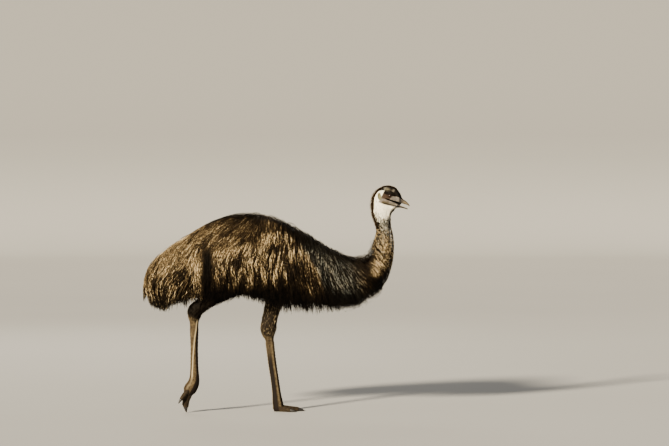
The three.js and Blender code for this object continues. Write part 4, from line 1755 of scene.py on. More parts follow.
@dataclass(frozen=True)
class BillHalf:
    """One half of the bill, from rows of along, top, bottom and half width."""

    name: str
    node: str
    rows: Rows
    crest: float
    upper: bool
    cap: float = 0.04
    tip: float = 2.0
    belly: float = 0.85
    nostril_along: float = 77.0
    nostril_up: float = -8.5
    groove_slope: float = 0.06
    groove_depth: float = 2.2
    nostril_depth: float = 5.0

    def nostril(self, ahead: Array, up: Array) -> Array:
        """Distance from the middle of the nostril, squared, in lengths of its radii."""
        past = ahead - self.nostril_along
        return past**2 / 81 + (up - self.nostril_up + 0.25 * past) ** 2 / 5.5

    def section(self, along: Array, around: Array) -> Array:
        """Formula of the horn.

        Args:
            along: Shares of the rows.
            around: Shares of the way round.

        Returns:
            The places.
        """
        share, drawn = capped(along, self.cap)
        row = spline(np.array(self.rows, dtype=float), share * (len(self.rows) - 1))
        ahead, top, bottom, half = (row[..., k] for k in range(4))
        lift, spread = np.cos(around * TURN), np.sin(around * TURN)
        across = half * np.sign(spread) * np.abs(spread) ** self.crest
        centre, tall = (top + bottom) / 2, (top - bottom) / 2
        up = centre + tall * np.sign(lift) * np.abs(lift) ** self.belly
        if self.upper:
            course = self.nostril_up - self.groove_slope * (ahead - self.nostril_along)
            groove = bell(up, course, 3.6) * smooth(ahead, 56, 66)
            groove = groove * fall(ahead, 92, 106)
            hole = fall(self.nostril(ahead, up), 0.5, 1.1)
            inner = np.abs(across) - self.groove_depth * groove - self.nostril_depth * hole
            across = np.sign(across) * np.maximum(inner, 0.0)
            up = up - 3.0 * smooth(ahead, 118, 130) * (1 - lift) * 0.5
        across, up = across * drawn, centre + (up - centre) * drawn
        return FACE.point(ahead + np.where(along > 0.5, 1 - drawn, 0.0) * self.tip, across, up)

    def marks(self, places: Array, along: Array, around: Array) -> Marks:
        """Pale base and tip, dark ridge and edges, painted shade in the nostril, and on the lower
        half a pale top edge that is partly painted highlight.

        Args:
            places: The places.
            along: Shares of the rows.
            around: Shares of the way round.

        Returns:
            The marks.
        """
        ahead, up = FACE.read(places)
        lift = np.cos(around * TURN)
        if not self.upper:
            # pale top edge of the lower half: partly wear, partly painted highlight; darker beneath
            wear_and_highlight = 0.12 + 0.88 * smooth(lift, 0.25, 0.6)
            under = smooth(-lift, -0.1, 0.4)
            return {"wear_and_highlight": wear_and_highlight * (1 - 0.85 * under), "lilac": fall(ahead, 60, 96)}
        ridge = smooth(lift, 0.3, 0.75) * (1 - 0.25 * smooth(ahead, 84, 100))
        edge = smooth(-lift, 0.5, 0.8)
        tip = smooth(ahead, 80, 100) * (1 - 0.6 * smooth(ahead, 118, 129))
        wear_and_highlight = np.clip(0.45 + 0.45 * tip, 0, 1) * (1 - ridge) * (1 - 0.85 * edge)
        hole = fall(self.nostril(ahead, up), 0.6, 1.1)
        return {"wear_and_highlight": wear_and_highlight, "lilac": fall(ahead, 76, 96), "hollow_shade": hole}

    def build(self, frame: Frame, finish: Finish) -> Piece:
        """Make this half in place of its node.

        Args:
            frame: The shared frame.
            finish: The horn's material.

        Returns:
            The piece.
        """
        shell = Shell(130, 72, self.section, self.marks)
        piece = piece_of(self.name, [shell.mesh(frame, HORN_MARKS)])
        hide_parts(self.node)
        return dress(piece, finish)


BILL_HALVES = (
    BillHalf(
        "bill_upper",
        "beak_upper",
        (
            (36, 30, -20, 16),
            (46, 28, -21, 18.5),
            (56, 21, -21.5, 18.5),
            (66, 13, -21.5, 17.5),
            (76, 7.0, -21.5, 16.0),
            (86, 3.2, -21.2, 14.2),
            (96, 0.8, -21, 12.3),
            (106, -2.7, -20.6, 10.3),
            (116, -7.5, -20.4, 8),
            (124, -12.5, -20.8, 5.2),
            (130, -18, -22.4, 2.2),
        ),
        1.15,
        True,
    ),
    BillHalf(
        "bill_lower",
        "beak_lower",
        (
            (34, -33, -57, 15),
            (48, -34, -58.5, 16),
            (60, -34.8, -56.5, 15.8),
            (72, -35.8, -52.5, 14.8),
            (84, -36.8, -48.5, 13.2),
            (96, -37.3, -46.8, 11),
            (108, -38, -46, 8.8),
            (119, -39, -45.4, 6),
            (127, -40.5, -44.2, 2.5),
        ),
        0.9,
        False,
    ),
)


@dataclass
class Claw:
    """Blunt curved claws at the ends of the toes.

    Each size is a link's depth and width as shares of the toe's own.
    """

    frame: Frame
    finish: Finish
    cap: float = 0.06
    overlap: float = 4.0
    sizes: Rows = ((0.7, 0.7), (0.82, 0.8), (0.55, 0.55), (0.32, 0.32), (0.08, 0.08))

    def build(self, side: Side, toe: str, pads: Rows, tip: Sequence[float]) -> Piece:
        """Make one claw in place of its node.

        Args:
            side: Side of the bird.
            toe: Name of the toe.
            pads: Links of the toe.
            tip: Where the claw ends.

        Returns:
            The piece.
        """
        end, goal = np.array(pads[-1], dtype=float), np.array(tip, dtype=float)
        way = unit(goal - end[:3])
        centres = (
            end[:3] - way * self.overlap,
            end[:3] + way * 3 + (0, 0, 0.5),
            mix(end[:3], goal, 0.5) + (0, 0, 1.5),
            mix(end[:3], goal, 0.82) + (0, 0, 0.8),
            goal,
        )
        sized = zip(centres, self.sizes)
        limb = Limb([(*centre, end[3] * deep, end[4] * wide) for centre, (deep, wide) in sized])

        def marks(_: Array, along: Array, around: Array) -> Marks:
            """Worn and paler towards the tip."""
            return {"wear_and_highlight": 0.5 * smooth(along, 0.6, 1.0)}

        shell = Shell(36, 24, limb.tube(self.cap), marks)
        piece = piece_of(f"{toe}_claw_{side.word}", [shell.mesh(self.frame, HORN_MARKS)])
        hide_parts(f"claw_{toe}_{side.word}")
        return dress(piece, self.finish)


@dataclass(frozen=True)
class Paths:
    """Courses of many feathers: places, outward directions, stations and angles by step."""

    places: Array
    outs: Array
    stations: Array
    angles: Array


STEPS = 16
SHARES = np.linspace(0, 1, STEPS + 1)[:, None]


@dataclass(frozen=True)
class Lie:
    """Which way the feathers of the body grow, and their courses over it."""

    outline: Outline
    hem_end: float = 12.2
    turn_under: float = -0.3
    droop: float = 0.15
    tail_end: float = 0.35
    root_depth: float = 4.0
    ridge_width: float = 120.0
    rump_from: Fade = Fade(400, 520)
    rump_height: Fade = Fade(680, 800)
    back_from: Fade = Fade(920, 1010)
    back_ends: Fade = Fade(40, 180)
    flank_high: Bump = Bump(930, 60)
    flank_front: Fade = Fade(-20, 120)
    shoulder_from: Fade = Fade(90, 230)
    breast_from: Fade = Fade(330, 480)
    neck_from: Fade = Fade(11.5, 13.5)
    thigh_from: Fade = Fade(-400, -250)
    upper_neck: Fade = Fade(15.5, 17.2)

    def growth(self, station: Array, place: Array, out: Array) -> Array:
        """Direction of growth.

        Args:
            station: Stations along the body.
            place: Places of the surface.
            out: The ways out of it.

        Returns:
            The directions.
        """
        x, y, z = (place[..., k] for k in range(3))
        near_ridge = fall(np.abs(y), 0, self.ridge_width) * np.maximum(0, out[..., 2])
        rump = self.rump_from(-x) * mix(0.15, 1.05, self.rump_height(z))
        upper = 1.1 * self.back_from(z) * self.back_ends(-x)
        rearward = 1.2 * near_ridge + np.maximum(rump, upper)
        rearward = rearward + 0.25 * self.flank_high(z) * self.flank_front.off(x)
        forward = 0.3 * self.shoulder_from(x) + 0.4 * self.breast_from(x)
        forward = forward + 0.35 * self.neck_from(station)
        forward = forward + 0.16 * self.thigh_from(x) * fall(z, 840, 920)
        forward = forward * fall(near_ridge, 0.1, 0.6) * (1 - 0.8 * self.upper_neck(station))
        spread = 0.8 * y / (np.abs(y) + 25)
        spread = spread * (1 - 0.9 * smooth(station, 10.6, 12.5))
        growth = np.stack([forward - rearward, spread, -np.ones_like(x)], -1)
        return unit(growth - out * np.sum(growth * out, -1, keepdims=True))

    @staticmethod
    def _moves(
        way: Array, step: Array, per_station: Array, per_angle: Array
    ) -> tuple[Array, Array]:
        """Turn moves over the surface into moves of station and angle.

        Args:
            way: Directions of the moves.
            step: Their lengths.
            per_station: Move per unit of station.
            per_angle: Move per unit of angle.

        Returns:
            Change of station and of angle.
        """
        e = np.sum(per_station * per_station, -1)
        f = np.sum(per_station * per_angle, -1)
        g = np.sum(per_angle * per_angle, -1)
        u = np.sum(way * per_station, -1) * step
        v = np.sum(way * per_angle, -1) * step
        area = np.maximum(e * g - f * f, 1e-6)
        return (u * g - v * f) / area, np.clip((v * e - u * f) / area, -0.3, 0.3)

    def courses(
        self, station: Array, angle: Array, length: Array, turn: Array, depth: Array, free: Array
    ) -> Paths:
        """Follow the surface from each root, rising out of the skin, then hang free.

        Args:
            station: Root stations.
            angle: Root angles.
            length: Lengths of the feathers.
            turn: How far each course turns aside by its end.
            depth: How deep under the coat's surface each one ends.
            free: Which ones hang free where the body turns under.

        Returns:
            The courses, a row for each step.
        """
        station, angle = station.copy(), angle.copy()
        root = self.outline.core_inset(station) + self.root_depth
        step = (length / STEPS)[..., None]
        hanging = np.zeros(len(station), dtype=bool)
        kept: list[tuple[Array, ...]] = []
        way = place = out = np.zeros((len(station), 3))
        for k in range(STEPS + 1):
            share = k / STEPS
            here, per_station, per_angle = self.outline.directions(station, angle)
            inset = mix(root, depth, smooth(share, -0.08, 0.55))
            limit = self.outline.core_inset(station) * 0.9
            limit = np.maximum(limit, root * (1 - share))
            inset = np.where(inset > 0, np.minimum(inset, limit), inset)
            on = self.outline.point(station, angle, inset)
            grow = self.growth(station, on, here)
            aside = np.cross(here, grow)
            bend = (turn * share)[..., None]
            grow = grow * np.cos(bend) + aside * np.sin(bend)
            fall = unit(mix(way, np.broadcast_to(DOWN, way.shape), self.droop))
            free_now = hanging[..., None]
            place = np.where(free_now, place + fall * step, on)
            way = np.where(free_now, fall, grow)
            out = np.where(free_now, out, here)
            kept.append((place, out, station.copy(), angle.copy()))
            along, aside = self._moves(way, step[..., 0], per_station, per_angle)
            station = np.where(hanging, station, np.maximum(0.1, station + along))
            angle = np.where(hanging, angle, angle + aside)
            under = (station < self.hem_end) & (here[..., 2] < self.turn_under) & free
            hanging = hanging | under | (station < self.tail_end)
        return Paths(*(np.stack(values) for values in zip(*kept)))


@dataclass(frozen=True)
class Blade:
    """Rings of a vane: steps of the course with the share of the full width at each."""

    rings: tuple[int, ...]
    widths: tuple[float, ...]


LONG_BLADE = Blade((0, 4, 8, 11, 14), (0.5, 0.95, 1.0, 0.85, 0.55))
SHORT_BLADE = Blade((0, 6, 12), (0.7, 1.0, 0.6))
BRISTLE = Blade((0, 9), (1.0, 0.75))


class Vane:
    """Prototype of one thin feather: a closed blade with three sides, rings and a point."""

    SIDES = 3

    def __init__(self, blade: Blade) -> None:
        """Cut a pointed cone into rings and read its vertices and faces.

        Args:
            blade: The rings.
        """
        bm = bmesh.new()
        bmesh.ops.create_cone(
            bm, cap_ends=True, segments=self.SIDES, radius1=1.0, radius2=0.0, depth=1.0
        )
        for ring in blade.rings[1:]:
            height = ring / STEPS - 0.5
            parts = [*bm.verts, *bm.edges, *bm.faces]
            bmesh.ops.bisect_plane(bm, geom=parts, plane_co=(0, 0, height), plane_no=(0, 0, 1))
        bmesh.ops.recalc_face_normals(bm, faces=bm.faces)
        heights = np.array([vert.co.z + 0.5 for vert in bm.verts])
        self.steps = np.rint(heights * STEPS).astype(int)
        reach = np.maximum(1 - heights, 1e-3)
        self.across = np.array([vert.co.x for vert in bm.verts]) / reach
        self.above = np.array([vert.co.y for vert in bm.verts]) / reach
        tip = self.steps == STEPS
        self.across[tip] = self.above[tip] = 0.0
        widths = dict(zip(blade.rings, blade.widths))
        self.width = np.array([widths.get(step, 0.0) for step in self.steps])
        self.faces = [[vert.index for vert in face.verts] for face in bm.faces]
        bm.free()


@dataclass
class Tuftwork:
    """Turns courses into one joined piece of coat."""

    frame: Frame
    patch: float = 0.003

    def mesh(
        self,
        name: str,
        paths: Paths,
        width: Array,
        thick: float,
        roots: Array,
        marks: Marks,
        blade: Blade = LONG_BLADE,
    ) -> Piece:
        """Lay a vane along each course.

        Args:
            name: Name of the piece.
            paths: The courses.
            width: Half width of each vane.
            thick: Thickness as a share of the width.
            roots: Place of each root on the skin's unwrap, from 0 to 1.
            marks: Marks by step and vane.
            blade: Rings of the vane.

        Returns:
            The piece.
        """
        vane = Vane(blade)
        count, corners = len(width), len(vane.steps)
        centres = paths.places
        ways = np.empty_like(centres)
        ways[1:-1] = centres[2:] - centres[:-2]
        ways[0], ways[-1] = centres[1] - centres[0], centres[-1] - centres[-2]
        ways = unit(ways)
        across = unit(np.cross(ways, paths.outs))
        above = np.cross(across, ways)
        half = (vane.width[:, None] * width[None, :])[..., None]
        places = (
            centres[vane.steps]
            + across[vane.steps] * half * vane.across[:, None, None]
            + above[vane.steps] * half * vane.above[:, None, None] * thick
        )
        points = self.frame.place(places.transpose(1, 0, 2)).reshape(-1, 3)
        sizes = np.array([len(face) for face in vane.faces])
        one = np.concatenate([np.array(face) for face in vane.faces])
        corner = (one[None, :] + np.arange(count)[:, None] * corners).ravel()
        mesh = bpy.data.meshes.new(name)
        mesh.vertices.add(len(points))
        mesh.vertices.foreach_set("co", points.astype(np.float32).ravel())
        mesh.loops.add(len(corner))
        mesh.loops.foreach_set("vertex_index", corner.astype(np.int32))
        mesh.polygons.add(count * len(sizes))
        starts = np.concatenate([[0], np.cumsum(np.tile(sizes, count))[:-1]])
        mesh.polygons.foreach_set("loop_start", starts.astype(np.int32))
        tuft = np.stack([vane.across * 0.5 + 0.5, vane.steps / STEPS], -1) * self.patch
        flat = (roots[:, None, :] * (1 - self.patch) + tuft[None]).reshape(-1, 2)
        uv = mesh.uv_layers.new(name=SKIN_MAP)
        uv.data.foreach_set("uv", flat[corner].astype(np.float32).ravel())
        for mark, values in marks.items():
            layer = mesh.attributes.new(mark, "FLOAT", "POINT")
            by_corner = np.broadcast_to(values, centres.shape[:2])[vane.steps].T
            by_corner = np.ascontiguousarray(by_corner, dtype=np.float32)
            layer.data.foreach_set("value", by_corner.ravel())
        mesh.update(calc_edges=True)
        mesh.validate()
        mesh.shade_smooth()
        return placed(name, mesh)


@dataclass(frozen=True)
class Region:
    """One piece of the body's coat."""

    name: str
    slot: Slot
    stations: tuple[float, float]
    degrees: tuple[float, float]
    count: int
    width: float = 1.55
    clump: int = 4

    @property
    def angles(self) -> tuple[float, float]:
        """First and last angle."""
        return math.radians(self.degrees[0]), math.radians(self.degrees[1])

    def unwrap(self, station: Array, angle: Array) -> Array:
        """Places of roots on the region's unwrap, from 0 to 1."""
        (low, high), (start, end) = self.stations, self.angles
        return np.stack([(angle - start) / (end - start), (station - low) / (high - low)], -1)


REGIONS = (
    Region("plumage_tail", Slot.RUMP, (0.15, 2.6), (-180, 180), 6300),
    Region("plumage_rump_left", Slot.RUMP, (2.4, 5.2), (0, 150), 6600),
    Region("plumage_rump_right", Slot.RUMP, (2.4, 5.2), (-150, 0), 6600),
    Region("plumage_flank_left", Slot.BODY, (5.0, 8.3), (0, 150), 6800),
    Region("plumage_flank_right", Slot.BODY, (5.0, 8.3), (-150, 0), 6800),
    Region("plumage_shoulder", Slot.BREAST, (8.1, 10.8), (-180, 180), 6500),
    Region("plumage_neck", Slot.NECK, (10.6, 17.6), (-180, 180), 6300, 1.25, 3),
)


@dataclass
class Coat:
    """Long loose feathers over tail, body, breast and neck.

    The hem's drop is how far below the body the feathers end, by place along X.
    """

    frame: Frame
    outline: Outline
    markings: Markings
    seed: int = 7
    regions: tuple[Region, ...] = REGIONS
    hem_drop: Rows = (
        (-330, 4), (-190, 12), (-120, 26), (-60, 48), (-20, 62),
        (60, 56), (120, 54), (240, 48), (330, 30), (430, 10),
    )
    under_from: float = math.radians(114)
    hanging_share: float = 0.75
    lock_size: int = 120
    thickness: float = 0.4
    nape_stand: float = 24.0
    throat_stand: float = 30.0
    tail_stand: float = 24.0
    brightness: float = 1.66

    def __post_init__(self) -> None:
        """Start the random draws and make the finish."""
        self.lie = Lie(self.outline)
        self.tufts = Tuftwork(self.frame)
        self.draws = np.random.default_rng(self.seed)
        self.finish = PlumageFinish().material()

    def roots(self, region: Region) -> tuple[Array, Array]:
        """Draw roots evenly over a region's surface.

        Args:
            region: The region.

        Returns:
            Their stations and angles.
        """
        tries = region.count * 6
        station = self.draws.uniform(*region.stations, tries)
        angle = self.draws.uniform(*region.angles, tries)
        _, per_station, per_angle = self.outline.directions(station, angle)
        area = np.linalg.norm(np.cross(per_station, per_angle), axis=-1)
        area = area * (1 - 0.92 * smooth(station, 15.6, 17.4))
        turned = np.abs(angle)
        area = area * mix(1.0, 0.6, smooth(turned, 2.1, 2.5))
        area = area * (1 + 0.8 * bell(turned, 0, 0.7) * bell(station, 10.2, 2.2))
        keep = self.draws.uniform(0, 1, len(area)) * area.max() < area
        return station[keep][: region.count], angle[keep][: region.count]

    def lengths(self, station: Array) -> Array:
        """Length of the feathers by station."""
        coat = self.outline.coat(station)
        return mix(20 + 2.5 * coat, 20 + 1.7 * coat, smooth(station, 11, 13))

    def stand_off(self, station: Array, angle: Array) -> Array:
        """How far the tips stand out on nape, breast and rump.

        Args:
            station: Root stations.
            angle: Root angles.

        Returns:
            The greatest distances.
        """
        lift = np.cos(angle)
        nape = self.nape_stand * smooth(lift, 0.5, 0.9) * smooth(station, 12, 13.5)
        throat = self.throat_stand * smooth(-lift, 0.4, 0.9) * smooth(station, 8.6, 10)
        tail = self.tail_stand * fall(station, 2.5, 5)
        nape = nape * fall(station, 15.8, 17.0)
        return nape + throat * (1 - 0.8 * smooth(station, 12.5, 14)) + tail

    def hem(self, station: Array) -> Array:
        """Height at which the feathers of the flanks end."""
        foot = self.outline.rib(np.minimum(station, self.lie.hem_end))[0]
        return foot[..., 2] - np.interp(foot[..., 0], *zip(*self.hem_drop))

    def region(self, region: Region) -> Piece:
        """Make one piece of the coat.

        Args:
            region: Its region.

        Returns:
            The piece.
        """
        station, angle = self.roots(region)
        count = len(station)
        draws, hem_end = self.draws, self.lie.hem_end
        under = np.abs(angle) > self.under_from
        length = self.lengths(station) * draws.uniform(0.7, 1.12, count)
        low_root = under & (station < hem_end)
        shortened = length * mix(0.4, 0.6, smooth(station, 8.6, 10))
        length = np.where(low_root, shortened, length)
        drop = self.outline.rib(station)[0][..., 2] - self.hem(station)
        hanging = low_root & (station > 5.6) & (draws.uniform(0, 1, count) < self.hanging_share)
        reaching = self.outline.core_inset(station) + drop + draws.normal(10, 14, count)
        length = np.where(hanging, np.maximum(1.5 * reaching, 0.8 * length), length)
        coat = self.outline.coat(station)
        depth = mix(-3.0, 0.42 * coat, draws.uniform(0, 1, count) ** 1.5)
        depth = depth - self.stand_off(station, angle) * draws.uniform(0, 1, count) ** 2.6
        turn = draws.normal(0, 0.13, count)
        free = ~under | hanging
        trial = self.lie.courses(station, angle, length, turn, depth, free)
        limit = self.hem(trial.stations[-1]) - 10 + draws.normal(0, 19, count)
        low = (trial.places[..., 2] < limit) & (trial.stations < hem_end)
        reach = np.where(low.any(0), np.argmax(low, 0), STEPS) / STEPS
        shorten = np.where(station < hem_end, np.clip(reach, 0.25, 1.0), 1.0)
        paths = self.lie.courses(station, angle, length * shorten, turn, depth, free)
        paths, clump, edge = self.clumped(paths, region.clump, 1.0 + 0.045 * float(np.mean(coat)))
        marks = self.marks(paths, clump, edge, depth / np.maximum(coat, 1))
        width = region.width * draws.uniform(0.7, 1.2, count)
        roots = region.unwrap(station, angle)
        piece = self.tufts.mesh(region.name, paths, width, self.thickness, roots, marks)
        return dress(piece, self.finish)

    def nearest(self, roots: Array, each: int) -> tuple[Array, Array]:
        """Choose leaders at random and find each feather's nearest.

        Args:
            roots: Places of the feathers.
            each: How many feathers there are to a leader.

        Returns:
            Each feather's leader, and how far off it stands.
        """
        count, lot = len(roots), 1000
        leaders = self.draws.choice(count, max(count // each, 1), replace=False)
        found, far = np.empty(count, dtype=int), np.empty(count)
        for start in range(0, count, lot):
            some = slice(start, start + lot)
            gap = np.linalg.norm(roots[some, None, :] - roots[None, leaders, :], axis=-1)
            found[some], far[some] = leaders[np.argmin(gap, 1)], gap.min(1)
        return found, far

    def clumped(self, paths: Paths, each: int, wave: float) -> tuple[Paths, Array, Array]:
        """Draw neighbouring feathers together in clumps and locks, and make them wavy.

        Args:
            paths: The courses.
            each: Feathers to a clump.
            wave: Height of the waves.

        Returns:
            The bent courses, a random value shared by each clump, and how near each feather is
            to the edge of its lock, where it gets painted shade.
        """
        draws, share = self.draws, SHARES
        count = paths.places.shape[1]
        roots = paths.places[5]
        leader, _ = self.nearest(roots, each)
        head, far = self.nearest(roots, self.lock_size)
        pull = 0.85 * draws.uniform(0.35, 1.0, count) * share**1.1
        gather = 0.3 * draws.uniform(0.4, 1.0, count) * share**2
        along = np.roll(paths.places, -1, 0) - paths.places
        along[-1] = along[-2]
        sideways = unit(np.cross(paths.outs, along))
        swing = draws.normal(0, wave, count)
        swing = swing * np.sin(share * draws.uniform(4, 10, count) + draws.uniform(0, 6.3, count))
        weave = draws.normal(0, 0.55 * wave, count)
        weave = weave * np.sin(share * 7 + draws.uniform(0, 6.3, count))
        curl = draws.normal(0, 1.6 * wave, count) * share**4
        shift = sideways * (swing * smooth(share, 0, 0.4) + curl)[..., None]
        shift = shift + paths.outs * (weave * share)[..., None]
        places = mix(paths.places, paths.places[:, leader], pull[..., None])
        places = mix(places, paths.places[:, head], gather[..., None]) + shift
        shared = draws.uniform(0, 1, count)[leader]
        edge = smooth(far / np.percentile(far, 88), 0.45, 1.0)
        return Paths(places, paths.outs, paths.stations, paths.angles), shared, edge

    def marks(self, paths: Paths, clump: Array, edge: Array, sunk: Array) -> Marks:
        """Tone and the silvery mark along each feather, with painted glints and painted shade at
        the edges of the locks.

        Args:
            paths: The courses.
            clump: Random value of each feather's clump.
            edge: How near each feather is to the edge of its lock, where it is darkened as painted
                shade.
            sunk: How deep it lies in the coat.

        Returns:
            The marks by step and feather.
        """
        draws, share = self.draws, SHARES
        count = paths.places.shape[1]
        marks = self.markings.on(paths.places, paths.angles, paths.stations)
        on_neck = smooth(paths.stations[0], 12, 13.5)
        shared = mix(0.55, 0.25, smooth(paths.stations[0], 8.4, 9.4)) + 0.55 * on_neck
        own = draws.uniform(0, 1, count)
        lit = smooth(mix(own, clump, shared) + 0.1 * on_neck, 0.42, mix(0.74, 0.6, on_neck))
        streak = mix(0.1 + 1.15 * lit, 0.02 + 1.5 * lit, on_neck) * draws.uniform(0.55, 1.25, count)
        # a pale window at a random place along each feather: painted glint of curled barbs
        streak = streak * (0.4 + 0.95 * bell(share, draws.uniform(0.3, 1.0, count), 0.18))
        x, z = paths.places[..., 0], paths.places[..., 2]
        calm = smooth(z - 0.35 * x, 960, 1080) * fall(x, -40, 120)
        streak = mix(streak, 0.74, 0.5 * calm)
        tone = marks["tone"] * streak * (1 - 1.2 * np.clip(sunk, 0, 0.6))
        # painted shade at the edges of the locks
        tone = tone * (1 - 0.75 * edge * smooth(share, 0.25, 0.75))
        tone = tone * mix(0.3, 1.0, smooth(share, 0.08, 0.4)) * (1 - 0.5 * smooth(share, 0.86, 1.0))
        silver = marks["silver"] * (0.85 + 0.3 * clump)
        return {"tone": np.clip(tone * self.brightness, 0, 1.25), "silver": np.clip(silver, 0, 1)}

    def build(self) -> list[Piece]:
        """Make every piece of the body's coat."""
        return [self.region(region) for region in self.regions]


@dataclass
class FineFeathers:
    """Short feathers of the legs and bristles of crown, nape and upper neck."""

    coat: Coat
    leg_count: int = 2600
    leg_lengths: tuple[float, float] = (78.0, 20.0)
    leg_pale: float = 0.44
    leg_sky_shade: float = 0.25
    bristle_count: int = 14000
    bristle_from: float = 14.6
    bristle_to: float = 27.2
    nape_lift: float = 0.95
    sway: float = 0.18
    droop: float = 0.12

    def __post_init__(self) -> None:
        """Share the coat's draws and make the darker finish of the bristles, partly painted shade
        over the brow and on the right drumstick.
        """
        self.draws = self.coat.draws
        # darker, duller plumage for the bristles: their own black and painted shade of the brow;
        # also the right drumstick's painted shadow
        self.bristle = PlumageFinish(
            "bristle",
            dark=(0.0025, 0.0017, 0.0012),
            brown=(0.035, 0.02, 0.009),
            roughness=0.75,
            specular=0.012,
        ).material()

    def short(
        self,
        surface: Outline | Limb,
        station: Array,
        angle: Array,
        length: Array,
        lift: Array,
        back: float,
        sunk: Values,
    ) -> Paths:
        """Straight short courses that lean back from the surface.

        Args:
            surface: Body or limb.
            station: Root stations, or shares of the limb.
            angle: Root angles.
            length: Lengths of the feathers.
            lift: Angles between feather and surface.
            back: 1 to lean to the end of the surface, -1 to its start.
            sunk: How deep the roots lie.

        Returns:
            The courses.
        """
        out, per_station, per_angle = surface.directions(station, angle)
        root = surface.point(station, angle, sunk)
        aside = unit(per_angle) * self.draws.normal(0, self.sway, len(angle))[:, None]
        way = unit(back * unit(per_station) + aside)
        share = SHARES[..., None]
        raised = lift[None, :, None] * (1 - 0.35 * share)
        direction = way[None] * np.cos(raised) + out[None] * np.sin(raised)
        places = root[None] + direction * share * length[None, :, None]
        places[..., 2] -= (SHARES**2) * length[None, :] * self.droop
        spread = [np.broadcast_to(values, places.shape[:2]) for values in (station, angle)]
        return Paths(places, np.broadcast_to(out, places.shape), *spread)

    def leg(self, side: Side) -> Piece:
        """Make the short feathers of one drumstick; the right one is darkened as painted shadow of
        the tail.

        Args:
            side: Side of the bird.

        Returns:
            The piece.
        """
        limb, draws, count = Limb(LEG_LINKS[side]), self.draws, self.leg_count
        lit = side is Side.LEFT
        angle = draws.uniform(0, TURN, count)
        end = (PLUMED_TO[side] - 0.5 * np.cos(angle)) / limb.last
        share = end * draws.uniform(0.0, 1.0, count)
        length = mix(*self.leg_lengths, share / end) * draws.uniform(0.7, 1.2, count)
        lift = draws.uniform(0.05, 0.3, count)
        paths = self.short(limb, share, angle, length, lift, 1.0, 5.0)
        # the right drumstick gets no pale feathers and no silvery mark: painted shadow of the tail
        pale = self.leg_pale if lit else 0.0
        tone = np.clip(pale * draws.uniform(0.3, 1.8, count) * smooth(SHARES, 0.1, 0.7), 0, 1)
        marks = {"tone": tone, "silver": self.leg_sky_shade if lit else 0.0}
        roots = np.stack([angle / TURN, share / end], -1)
        width = draws.uniform(1.4, 2.3, count)
        name = f"plumage_leg_{side.word}"
        piece = self.coat.tufts.mesh(name, paths, width, 0.4, roots, marks, SHORT_BLADE)
        return dress(piece, self.coat.finish if lit else self.bristle)

    def density(self, station: Array, angle: Array) -> Array:
        """How densely bristles grow.

        Args:
            station: Stations of neck and head.
            angle: Angles round them.

        Returns:
            1 where they are densest, 0 where none grow.
        """
        turned = np.abs(angle)
        wide = mix(0.8, 0.56, smooth(station, 17.5, 20.0))
        nape = mix(1.2, 0.8, smooth(station, 18, 20)) * bell(turned, 0, wide)
        nape = nape * fall(station, 21.5, 23)
        chin = 0.75 * bell(turned, math.pi, 0.32) * (1 - 0.6 * smooth(station, 25.0, 26.2))
        crown = HeadRelief().crown(self.coat.outline.point(station, angle))
        crown = 0.9 * crown * smooth(station, 19.6, 20.6)
        mottle = 0.7 * fall(station, 16.0, 21.6) ** 1.2
        mottle = mottle + 0.03 * fall(station, 20.0, 23.0)
        return np.maximum(np.maximum(nape, chin), np.maximum(crown, mottle))

    def bristles(self) -> Piece:
        """Make the bristles of crown, nape and chin, thinning out over the white of the neck.

        Returns:
            The piece.
        """
        draws, tries = self.draws, self.bristle_count * 6
        first, last = self.bristle_from, self.bristle_to
        station = draws.uniform(first, last, tries)
        angle = draws.uniform(-math.pi, math.pi, tries)
        keep = draws.uniform(0, 1, tries) < self.density(station, angle)
        station, angle = station[keep][: self.bristle_count], angle[keep][: self.bristle_count]
        total = len(station)
        standing = bell(np.abs(angle), 0, 0.65) * smooth(station, 16.5, 18)
        standing = standing * (1 - 0.6 * smooth(station, 22, 24))
        front = bell(np.abs(angle), math.pi, 0.4) * fall(station, 24, 26)
        long = mix(22.0, 30.0, smooth(station, 19, 20.5))
        length = mix(mix(7.5, 14.0, front), long, standing) * draws.uniform(0.5, 1.3, total)
        lift = mix(mix(0.14, 0.7, front), self.nape_lift, standing) * draws.uniform(0.4, 1.2, total)
        outline = self.coat.outline
        paths = self.short(outline, station, angle, length, lift, -1.0, 10.0 * standing + 0.5)
        beige = draws.uniform(0, 1, total) < 0.35 * fall(station, 16.4, 18.0)
        plain_tone = draws.uniform(0.0, 0.08, total) + 0.3 * np.maximum(standing, 0.9 * front)
        marks = {"tone": np.where(beige, 0.9, plain_tone), "silver": 0.0}
        roots = np.stack([angle / TURN % 1.0, (station - first) / (last - first)], -1)
        width = draws.uniform(0.45, 0.9, total) * mix(1.6, 1.0, smooth(station, 17.5, 20.5))
        piece = self.coat.tufts.mesh("bristles_head", paths, width, 0.6, roots, marks, BRISTLE)
        return dress(piece, self.bristle)

    def build(self) -> list[Piece]:
        """Make legs' feathers and bristles."""
        return [self.leg(Side.LEFT), self.leg(Side.RIGHT), self.bristles()]


class LampKind(Enum):
    """Kinds of lamp."""

    SUN = "SUN"
    SQUARE = "AREA"


def facing(place: Sequence[float], target: Vector) -> Euler:
    """Rotation of a lamp or camera that looks from a place at a target."""
    return (target - Vector(place)).to_track_quat("-Z", "Y").to_euler()


